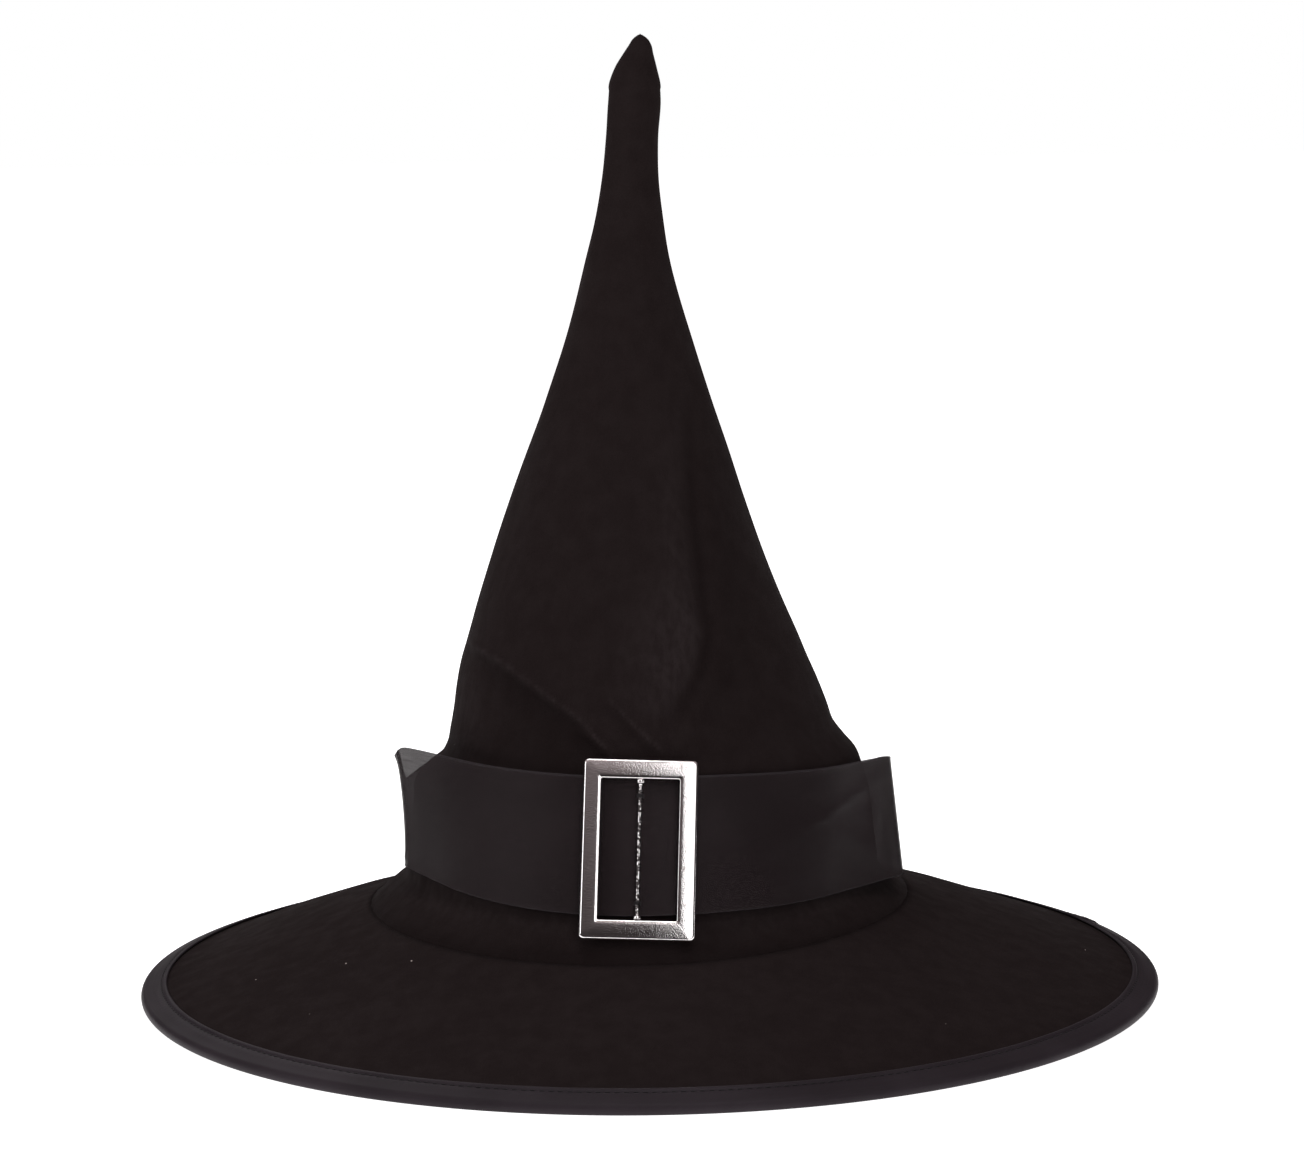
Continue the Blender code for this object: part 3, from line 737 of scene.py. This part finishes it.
# ================================================================ Edge binding
# A satin bias tape is folded over the wired edge and sewn through, two millimetres from its
# inner fold. The thread pulls a groove with small puckers, and the tape's ends lap at the right.
TAPE_COLUMNS = 1024
TAPE_HALF_THICK = 0.0023
TAPE_SLOT = 0.0016
TAPE_REACH = 0.0082
GROOVE_IN = 0.0020
STITCH_PITCH = 0.0031
STITCH_LENGTH = 0.0021
THREAD_RADIUS = 0.00019
LAP_ANGLE = math.radians(22)
LAP_LENGTH = 0.011


def tape_section():
    """The folded tape cut across, as distance outwards and height from the wire's middle.

    In order: the upper flap's outer face from its inner fold, the round edge, the flat sole, the
    lower flap, and back along the slot that holds the brim. Also each point's part of the flap."""
    slope = math.atan(BRIM_RISE)
    top = math.pi / 2 - slope
    bottom = -math.pi / 2 - slope
    inwards = np.array([-math.cos(slope), math.sin(slope)])
    sole_angle = -math.asin(EDGE_HEIGHT / TAPE_HALF_THICK)
    around = np.linspace(top, sole_angle, 14)
    edge = TAPE_HALF_THICK * np.stack([np.cos(around), np.sin(around)], axis=1)
    heel = TAPE_HALF_THICK * np.array([math.cos(bottom), math.sin(bottom)])
    sole_inner = np.array([heel[0] + (heel[1] + EDGE_HEIGHT) / math.tan(slope), -EDGE_HEIGHT])
    back = np.linspace(bottom, top, 7)
    slot = TAPE_SLOT * np.stack([np.cos(back), np.sin(back)], axis=1)
    out = TAPE_REACH * np.linspace(1, 0.04, 22)[:, None] * inwards
    upper = edge[0] + out
    fold = np.array([(slot[-1] + edge[0]) / 2 + (TAPE_REACH + 0.00025) * inwards])
    points = np.concatenate([upper, edge, [sole_inner, heel + TAPE_REACH * inwards],
                             [slot[0] + TAPE_REACH * inwards], slot, [slot[-1] + TAPE_REACH * inwards], fold])
    on_flap = np.zeros(len(points))
    on_flap[:len(upper)] = 1
    return points, on_flap, np.array([math.sin(slope), math.cos(slope)]), inwards


def bound_edge():
    """The tape carried round the brim: a groove, puckers between stitches, and the lap's step."""
    points, on_flap, outward, inwards = tape_section()
    turn = 2 * math.pi * np.arange(TAPE_COLUMNS) / TAPE_COLUMNS
    reach = TAPE_REACH - points @ inwards
    arc = turn * (EDGE_RADIUS - TAPE_REACH)
    beat = np.cos(2 * math.pi * arc / STITCH_PITCH)
    drift = np.sin(7 * turn + 0.4) + 0.8 * np.sin(17 * turn + 1.3) + 0.6 * np.sin(41 * turn)
    groove = bell(reach, GROOVE_IN, 0.00050)[:, None]
    brow = bell(reach, 0.0007, 0.0007)[:, None] + 0.7 * bell(reach, 0.0042, 0.0016)[:, None]
    lift = -0.00034 * groove + (0.00016 + 0.00005 * beat) * brow + 0.00006 * drift * brow
    off_lap = np.abs((turn - LAP_ANGLE + math.pi) % (2 * math.pi) - math.pi) * EDGE_RADIUS
    lap = 1 - ease(off_lap, LAP_LENGTH / 2 - 0.0006, LAP_LENGTH / 2 + 0.0006)
    lift = on_flap[:, None] * (lift + 0.00045 * lap)
    swollen = ease(points[:, 1], -0.0012, 0.0006)[:, None] * ease(points[:, 0], -0.0004, 0.0010)[:, None]
    distance = EDGE_RADIUS + points[:, :1] + lift * outward[0] + swollen * 0.00050 * lap
    height = EDGE_HEIGHT + points[:, 1:] + lift * outward[1]
    return np.stack([distance * np.cos(turn), distance * np.sin(turn), height + 0 * turn], axis=-1)


def satin(name, dark, light, roughness, width, see_through=0.0):
    """Satin: long floating threads run along the tape, with slow shading and a soft lustre.

    The tape's two edges, woven tighter, are lighter."""
    cloth = Finish(name, Sheen_Weight=0.02, Sheen_Roughness=0.3, Sheen_Tint=(1.0, 0.90, 0.96),
                   Specular_IOR_Level=0.07)
    threads = cloth.noise(1.0, 3.0, stretch=(45.0, 2300.0, 1.0), over=cloth.flat)
    picks = cloth.noise(1.0, 2.0, stretch=(520.0, 150.0, 1.0), over=cloth.flat)
    slow = cloth.noise(22.0, 2.0)
    shade = 0.35 * threads + 0.20 * picks + 0.45 * slow.rising(0.3, 0.7)
    across = cloth.part(cloth.flat, "Y")
    edges = across.rising(width - 0.0009, width - 0.0006) + 1 - across.rising(0.0003, 0.0006)
    woven = cloth.blend(shade, dark, light)
    cloth.set("Base Color", cloth.blend(0.5 * edges, woven, (0.042, 0.036, 0.040)))
    cloth.set("Roughness", roughness - 0.06 + 0.14 * threads)
    cloth.relief(0.8 * threads + 0.2 * picks, 0.00003, 0.2)
    if see_through:
        cloth.set("Alpha", 1 - see_through * (0.35 + 1.3 * threads))
    return cloth.material


def tubes(name, paths, radius, across, sides=6):
    """Round threads along several paths at once, in a (threads, points, 3) array.

    Each point carries a ring in the plane of across and of the path's own square direction; the
    rings shrink at both ends, which are shut."""
    along = np.gradient(paths, axis=1)
    side = np.cross(along, across[:, None])
    side /= np.linalg.norm(side, axis=-1, keepdims=True)
    spin = 2 * math.pi * np.arange(sides) / sides
    share = np.linspace(0, 1, paths.shape[1])
    taper = radius * np.minimum(1, 0.45 + 4 * np.minimum(share, 1 - share))
    rings = np.cos(spin)[:, None] * side[..., None, :] + np.sin(spin)[:, None] * across[:, None, None]
    return ring_mesh(name, paths[:, :, None] + taper[:, None, None] * rings)


def stitches(name, starts, ends, outward, radius):
    """A row of sewn stitches: each thread rises from the cloth, lies along it and dives back in."""
    share = np.linspace(0, 1, 5)[:, None]
    arch = np.sin(math.pi * share) ** 0.5 - 0.65
    paths = starts[:, None] + share * (ends - starts)[:, None] + 1.3 * radius * arch * outward[:, None]
    return tubes(name, paths, radius, outward, sides=5)


def spun_thread(name, dark, light):
    """Sewing thread: fine slanted plies with a dull shine."""
    thread = Finish(name, Sheen_Weight=0.03, Specular_IOR_Level=0.2)
    plies = thread.noise(2600.0, 2.0, stretch=(1.0, 0.6, 1.4))
    thread.set("Base Color", thread.blend(plies, dark, light))
    thread.set("Roughness", 0.45 + 0.25 * plies)
    thread.relief(plies, 0.00008, 0.6)
    return thread.material


tape_rings = bound_edge()
edge_tape = ring_mesh("edge_tape", tape_rings, unroll(tape_rings, True), closed=True)
tape_satin = satin("tape_satin", (0.0150, 0.0113, 0.0138), (0.0330, 0.0262, 0.0315), 0.50, 1.0)
add_piece(edge_tape, tape_satin, "hat", "binding", "edge_binding")

slope = math.atan(BRIM_RISE)
groove_reach = TAPE_REACH - GROOVE_IN
groove_radius = EDGE_RADIUS - groove_reach * math.cos(slope) + (TAPE_HALF_THICK - 0.0002) * math.sin(slope)
groove_height = EDGE_HEIGHT + groove_reach * math.sin(slope) + (TAPE_HALF_THICK - 0.0002) * math.cos(slope)
stitch_count = round(2 * math.pi * groove_radius / STITCH_PITCH)
stitch_turn = 2 * math.pi * np.arange(stitch_count) / stitch_count


def on_groove(turn, lift):
    radius = groove_radius + lift * math.sin(slope)
    height = groove_height + lift * math.cos(slope)
    return np.stack([radius * np.cos(turn), radius * np.sin(turn), height + 0 * turn], axis=-1)


groove_out = on_groove(stitch_turn, 1.0) - on_groove(stitch_turn, 0.0)
half_stitch = STITCH_LENGTH / 2 / groove_radius
edge_stitching = stitches("edge_stitching", on_groove(stitch_turn - half_stitch, 0.0),
                          on_groove(stitch_turn + half_stitch, 0.0), groove_out, THREAD_RADIUS)
black_thread = spun_thread("black_thread", (0.007, 0.006, 0.007), (0.022, 0.019, 0.021))
add_piece(edge_stitching, black_thread, "hat", "thread")

# ================================================================ Sweatband
# A ribbed tape stands inside the head opening, over the seam that joins crown and brim.
SWEATBAND = (0.0030, 0.0039)
SWEATBAND_TOP = 0.058
RIB_PITCH = 0.0011


def ribbed_tape(name, dark, light):
    """Grosgrain: rounded ribs that stand square to the tape's length."""
    tape = Finish(name, Sheen_Weight=0.08)
    along = tape.part(tape.flat)
    ribs = 0.5 + 0.5 * (along * (2 * math.pi / RIB_PITCH)).sine()
    dust = tape.noise(300.0, 3.0)
    tape.set("Base Color", tape.blend(0.6 * ribs + 0.4 * dust, dark, light))
    tape.set("Roughness", 0.55 + 0.2 * dust)
    tape.relief(ribs, 0.0003)
    return tape.material


band_rows = crown_level <= SWEATBAND_TOP
inner_wall = (crown_face - SWEATBAND[1] * crown_out)[band_rows]
outer_wall = (crown_face - SWEATBAND[0] * crown_out)[band_rows]
sweat_rings = np.concatenate([inner_wall[::-1], outer_wall])
sweat_tape = ring_mesh("sweat_tape", sweat_rings, unroll(sweat_rings, True), closed=True)
sweat_ribs = ribbed_tape("sweat_ribs", (0.010, 0.009, 0.010), (0.026, 0.024, 0.025))
add_piece(sweat_tape, sweat_ribs, "hat", "grosgrain", "sweatband")

# ================================================================ Ribbon band
# One straight 50 mm satin ribbon goes round the foot of the crown, and stands away from it at the
# crease ironed in at each side. It is one closed ring here, with a raised step at the back where
# the real one's ends lap.
RIBBON_SHIFT = -0.0020
RIBBON_INNER = 0.0004
RIBBON_THICK = 0.0005
CROWN_CLEARANCE = 0.0004
RIBBON_BOTTOM = dict(z=0.0457, width=0.0879, depth=0.0980,
                     left=(-0.0881, -0.0340), right=(0.0930, -0.0280), rise=(0.0056, -0.0010))
RIBBON_TOP = dict(z=0.0920, width=0.0840, depth=0.0793,
                  left=(-0.0918, -0.0230), right=(0.0897, -0.0080), rise=(0.0028, -0.0068))
RIBBON_COLUMNS = 512
RIBBON_ROWS = 34
LAP_X = (-0.0050, 0.0110)
LAP_STEP = 0.0004


def ribbon_ring(level, grow, turn):
    """One edge of the band from above: a taut loop round an oval and the two creases outside it.

    Half way round each side the turn meets the crease. From there a straight line runs to each
    point where it would touch the oval, and the rest follows the oval. Towards each crease the
    edge also rises or falls a little."""
    wide = level["width"] + grow
    deep = level["depth"] + grow
    on_right = turn > 0
    crease = np.where(on_right[:, None], level["right"], level["left"]) - np.array([RIBBON_SHIFT, 0.0])
    crease = crease * (1 + grow / np.linalg.norm(crease, axis=1, keepdims=True))
    peg_x = np.abs(crease[:, 0]) / wide
    peg_y = -crease[:, 1] / deep
    lean = np.arctan2(peg_y, peg_x)
    free = np.arccos(np.minimum(1, 1 / np.hypot(peg_x, peg_y)))
    quarter = np.abs(turn) / (math.pi / 2)
    angle = np.where(quarter < 1, math.pi / 2 - (math.pi / 2 - lean) * quarter,
                     lean - (math.pi / 2 + lean) * (quarter - 1))
    off = angle - lean
    touch = lean + np.sign(off) * free
    part = np.clip(np.abs(off) / free, 0, 1)
    loose = np.abs(off) < free
    x = wide * np.where(loose, peg_x + part * (np.cos(touch) - peg_x), np.cos(angle))
    y = -deep * np.where(loose, peg_y + part * (np.sin(touch) - peg_y), np.sin(angle))
    rise = np.where(on_right, level["rise"][1], level["rise"][0]) * (x / crease[:, 0]) ** 2
    return np.stack([RIBBON_SHIFT + np.where(on_right, x, -x), y, level["z"] + rise], axis=-1)


def ribbon_ease(x, behind, share):
    """How far the ribbon stands off its taut shape: soft pulls, and crumples beside each crease."""
    front = ease(-behind, 0.000, 0.004)
    from_left = x - RIBBON_TOP["left"][0] - 0.0030 * (1 - share)
    from_right = RIBBON_BOTTOM["right"][0] - 0.0033 * share - x
    clear = 1 - bell(x, -0.003, 0.034) ** 0.5
    pulls = 0.0006 * bell(x - 0.10 * (share - 0.5), 0.052, 0.0050) * bell(share, 0.45, 0.35)
    pulls += 0.0007 * bell(x + 0.05 * (share - 0.5), 0.068, 0.0045) * bell(share, 0.35, 0.30)
    pulls += 0.0005 * bell(x, -0.060, 0.012) * bell(share, 0.55, 0.4)
    ears = 0.0004 * bell(from_right - 0.006 * (1 - share), 0.0050, 0.0022) * bell(share, 0.5, 0.25)
    ears += 0.0004 * bell(from_right - 0.002 * share, 0.0030, 0.0014) * bell(share, 0.22, 0.18)
    ears += 0.0002 * bell(from_left, 0.0060, 0.0028)
    behind_bar = 0.00035 * bell(x, -0.0095, 0.0030) * bell(share, 0.55, 0.45)
    waist = 0.0048 * share * (1 - share) * bell(from_left, 0.0, 0.012)
    return front * (clear * pulls + ears) + behind_bar * (behind < 0) - waist


def ribbon_slump(turn, share, behind):
    """How far the slack ply behind each crease has slipped down, more at its top than its foot.

    At the left it drops at once, so that light comes through the single ply in front of it; at
    the right it sinks slowly and stays hidden."""
    on_right = turn > 0
    top = np.where(on_right, 0.0092 * ease(behind, -0.004, 0.034), 0.0146 * ease(behind, 0.002, 0.015))
    foot = np.where(on_right, 0.0036 * ease(behind, 0.0, 0.012), 0.0022 * ease(behind, 0.0, 0.010))
    held = 1 - ease(np.abs(turn) - math.pi / 2, 0.75, 1.35)
    return held * (foot + share * (top - foot))


def ribbon_wall(turn, share, grow, outer):
    """The band's face: straight lines from its bottom edge to its top one, then eased outwards.

    Wherever the slack would take it into the crown it is pushed out to lie on the crown instead."""
    low = ribbon_ring(RIBBON_BOTTOM, grow, turn)
    high = ribbon_ring(RIBBON_TOP, grow, turn)
    share = share[:, None]
    wall = low + share[..., None] * (high - low)
    x = wall[..., 0]
    y = wall[..., 1]
    low_y, high_y = [np.where(turn > 0, level["right"][1], level["left"][1])
                     for level in (RIBBON_BOTTOM, RIBBON_TOP)]
    behind = y - low_y - share * (high_y - low_y)
    stand = ribbon_ease(x, behind, share)
    if outer:
        stand = stand + 0.00012 * (bell(share, 0.006, 0.012) + bell(share, 0.994, 0.012))
        begins, stops = [ease(x, end - 0.0003, end + 0.0003) for end in LAP_X]
        stand = stand + LAP_STEP * begins * (1 - stops) * (y > 0)
    plan = wall * np.array([1.0, 1.0, 0.0])
    plan = plan / np.linalg.norm(plan, axis=-1, keepdims=True)
    wall = wall + stand[..., None] * plan
    off_corner = np.maximum(wall[..., 0] + 0.0925, 0)
    wall[..., 2] -= 0.0040 * np.exp(-off_corner / 0.0016) * ease(share, 0.72, 1.0)
    wall[..., 2] -= ribbon_slump(turn, share, behind)
    wall[..., 2] -= 0.0002 * np.sin(3 * turn + 1.0) * (2 * share - 1)
    left, right, deep = np.moveaxis(through(CROWN_ROWS, wall[..., 2]), -1, 0)
    middle = (left + right) / 2
    off_middle = wall[..., 0] - middle
    inside = np.hypot(2 * off_middle / (right - left), wall[..., 1] / deep)
    push = np.maximum(1, (1 + (grow + CROWN_CLEARANCE) / deep) / inside)
    wall[..., 0] = middle + off_middle * push
    wall[..., 1] *= push
    return wall


ribbon_turn = 2 * math.pi * np.arange(RIBBON_COLUMNS) / RIBBON_COLUMNS - math.pi
edge_share = np.concatenate([[0.0, 0.006, 0.015], np.linspace(0.03, 0.97, RIBBON_ROWS), [0.985, 0.994, 1.0]])
ribbon_inside = ribbon_wall(ribbon_turn, edge_share, RIBBON_INNER, False)
ribbon_outside = ribbon_wall(ribbon_turn, edge_share, RIBBON_INNER + RIBBON_THICK, True)
ribbon_rings = np.concatenate([ribbon_outside, ribbon_inside[::-1]])
ribbon_face = unroll(ribbon_outside)
ribbon_flat = np.concatenate([ribbon_face, ribbon_face[::-1], ribbon_face[:1]])
ribbon_width = ribbon_face[..., 1].max()
hat_ribbon = ring_mesh("hat_ribbon", ribbon_rings, ribbon_flat, closed=True)
ribbon_satin = satin("ribbon_satin", (0.0145, 0.0104, 0.0112), (0.0260, 0.0194, 0.0210), 0.46,
                     ribbon_width, 0.235)
add_piece(hat_ribbon, ribbon_satin, "hat", "ribbon", "ribbon_band")

lap_height = np.linspace(0.0535, 0.0835, 10)
lap_lean = (RIBBON_BOTTOM["depth"] - RIBBON_TOP["depth"]) / (RIBBON_TOP["z"] - RIBBON_BOTTOM["z"])
lap_length = math.hypot(1, lap_lean)


def on_lap(height):
    """Points up the middle of the lap, on the outer face of the ribbon at the centre back."""
    depth = RIBBON_BOTTOM["depth"] - (height - RIBBON_BOTTOM["z"]) * lap_lean
    depth = depth + RIBBON_INNER + RIBBON_THICK + 0.00045
    return np.stack([RIBBON_SHIFT + 0 * height, depth, height], axis=-1)


lap_out = np.broadcast_to(np.array([0.0, 1.0, lap_lean]) / lap_length, (len(lap_height), 3))
lap_stitches = stitches("lap_stitches", on_lap(lap_height - 0.0011), on_lap(lap_height + 0.0011),
                        lap_out, 0.00030)
add_piece(lap_stitches, black_thread, "hat", "thread", "ribbon_stitches")

# ================================================================ Buckle
# The buckle is a plastic moulding, vacuum-plated to a mirror: a frame with crowned rails and
# bevelled edges, and a thin round bar with a collar at each end. Plating over the moulding's
# faint ripple breaks the reflections up.
BUCKLE_SIZE = (0.0400, 0.0640)
WINDOW_SIZE = (0.0276, 0.0502)
BUCKLE_LEAN = math.radians(22)
FRAME_CORNER = 0.0017
WINDOW_CORNER = 0.0006
HARD_EDGE = math.radians(50)
BAR_RADIUS = 0.0007
COLLAR_RADIUS = 0.0014
COLLAR_LENGTH = 0.0014
BAR_HALF = 0.0248
FRAME_CURVE = (1.60, 0.42)
RAIL_SECTION = (
    # share of the rail from its outer edge, height off the buckle's middle in millimetres
    (0.000, -1.70), (0.000, 0.85), (0.000, 1.02), (0.012, 1.20), (0.036, 1.36), (0.066, 1.50), (0.090, 1.575),
    (0.104, 1.597), (0.18, 1.620), (0.28, 1.640), (0.40, 1.654), (0.52, 1.656), (0.64, 1.645), (0.76, 1.622),
    (0.830, 1.602), (0.846, 1.590), (0.870, 1.555), (0.900, 1.515), (0.935, 1.465), (0.965, 1.410),
    (0.985, 1.32), (1.000, 1.16), (1.000, 1.00), (1.000, -1.70),
)

hinge = frame["joints"][0]
bar_place = np.array(hinge["pos_m"])
bar_up = np.array(hinge["axis"]) / np.linalg.norm(hinge["axis"])
bar_out = np.array([0.0, -math.cos(BUCKLE_LEAN), math.sin(BUCKLE_LEAN)])
bar_side = np.cross(bar_up, bar_out)


def on_buckle(points):
    """Carries points from the buckle's own axes, with Y up its bar and Z off its face."""
    return bar_place + points[..., :1] * bar_side + points[..., 1:2] * bar_up + points[..., 2:] * bar_out


def buckle_rings():
    """The rail's section carried round a rectangle whose corners tighten towards the window.

    The face falls away from the middle with the square of the distance, as the moulding is convex."""
    share, height = np.array(RAIL_SECTION).T
    half_x = BUCKLE_SIZE[0] / 2 + share * (WINDOW_SIZE[0] - BUCKLE_SIZE[0]) / 2
    half_y = BUCKLE_SIZE[1] / 2 + share * (WINDOW_SIZE[1] - BUCKLE_SIZE[1]) / 2
    corner = FRAME_CORNER + share * (WINDOW_CORNER - FRAME_CORNER)
    spin = np.concatenate([math.pi / 2 * (quarter + np.linspace(0, 1, 9)) for quarter in range(4)])
    sign_x = np.repeat([1, -1, -1, 1], 9)
    sign_y = np.repeat([1, 1, -1, -1], 9)
    x = sign_x * (half_x - corner)[:, None] + corner[:, None] * np.cos(spin)
    y = sign_y * (half_y - corner)[:, None] + corner[:, None] * np.sin(spin)
    fall = FRAME_CURVE[0] * x ** 2 + FRAME_CURVE[1] * y ** 2
    face = height[:, None] / 1000 - fall * (height[:, None] > 0)
    return on_buckle(np.stack([x, y, face], axis=-1))


def bar_rings():
    """A turned profile: a rod between two collars with rounded edges."""
    collar = BAR_HALF - COLLAR_LENGTH
    profile = np.array([(0.0010, BAR_HALF), (0.00132, BAR_HALF - 0.0001), (COLLAR_RADIUS, BAR_HALF - 0.0003),
                        (COLLAR_RADIUS, collar + 0.0003), (0.00125, collar + 0.0001), (0.00100, collar),
                        (BAR_RADIUS, collar - 0.0004)])
    rod = np.column_stack([np.full(40, BAR_RADIUS), np.linspace(collar - 0.001, 0.001 - collar, 40)])
    profile = np.concatenate([profile, rod, profile[::-1] * np.array([1, -1])])
    spin = 2 * math.pi * np.arange(20) / 20
    rings = [profile[:, :1] * np.cos(spin), profile[:, 1:] + 0 * spin, profile[:, :1] * np.sin(spin)]
    return on_buckle(np.stack(rings, axis=-1))


def mirror_plate(name, ripple, ripple_depth):
    """Vacuum plating: a mirror over orange-peel ripple, with hazy patches and rubbed spots.

    Where a piece's painted-shade value is 1, its colour is painted nearly black as painted shade, and only
    flecks of the plating are still bright."""
    plate = Finish(name, Metallic=1.0)
    haze = plate.noise(90.0, 3.0)
    peel = plate.noise(ripple, 2.0)
    rubbed = plate.noise(330.0, 4.0).rising(0.60, 0.74)
    bright = plate.blend(rubbed, (0.93, 0.90, 0.90), (0.70, 0.66, 0.65))
    # Painted shade: where the stored value is 1 the plating's colour is painted nearly black, leaving bright
    # flecks.
    worn = plate.node("Attribute", {"attribute_name": "worn"}, output="Fac")
    painted_dark_mask = worn * (1 - plate.noise(1100.0, 1.0).rising(0.52, 0.60))
    plate.set("Base Color", plate.blend(painted_dark_mask, bright, (0.09, 0.08, 0.08)))
    plate.set("Roughness", 0.05 + 0.10 * haze + 0.12 * rubbed)
    plate.relief(peel, ripple_depth)
    return plate.material


def rod_painted_shade(x, y, z):
    """Painted shade on the rod between its collars, where its plating is painted dark."""
    along = (np.stack([x, y, z], axis=-1) - bar_place) @ bar_up
    return 1 - ease(np.abs(along), BAR_HALF - COLLAR_LENGTH - 0.0008, BAR_HALF - COLLAR_LENGTH)


buckle_plate = ring_mesh("buckle_plate", buckle_rings(), closed=True)
buckle_plate.data.set_sharp_from_angle(angle=HARD_EDGE)
add_piece(buckle_plate, mirror_plate("plated_rails", 2100.0, 0.000034), "buckle", "plated", "buckle_frame")
buckle_rod = ring_mesh("buckle_rod", bar_rings())
# The rod is painted dark between its collars: painted shade, with bright flecks left.
store(buckle_rod, "worn", rod_painted_shade)
add_piece(buckle_rod, mirror_plate("plated_rod", 900.0, 0.000030), "buckle", "plated", "buckle_bar")

# ================================================================ Buckle lashings
# Three turns of black thread over each end of the bar hold the buckle to the ribbon.
LASH_PLACE = 0.019
LASH_RADIUS = 0.00018
LASH_PITCH = 0.00043
LASH_BEND = 0.00115
LASH_FOOT = -0.0020


def lashing(name, centre):
    """Threads that stand up beside the bar, go over it in a half circle, and down again."""
    over = np.linspace(0, math.pi, 13)
    x = np.concatenate([[LASH_BEND, LASH_BEND], LASH_BEND * np.cos(over), [-LASH_BEND, -LASH_BEND]])
    z = np.concatenate([[LASH_FOOT, LASH_FOOT / 2], LASH_BEND * np.sin(over), [LASH_FOOT / 2, LASH_FOOT]])
    rows = centre + LASH_PITCH * np.array([-1.0, 0.0, 1.0])[:, None]
    paths = np.stack([x + 0 * rows, rows + 0 * x, z + 0 * rows], axis=-1)
    across = np.broadcast_to(bar_up, (3, 3))
    return tubes(name, on_buckle(paths), LASH_RADIUS, across, sides=8)


for end, centre in (("top", LASH_PLACE), ("bottom", -LASH_PLACE)):
    add_piece(lashing("lashing_" + end, centre), black_thread, "hat", "thread", "buckle_lashing_" + end)
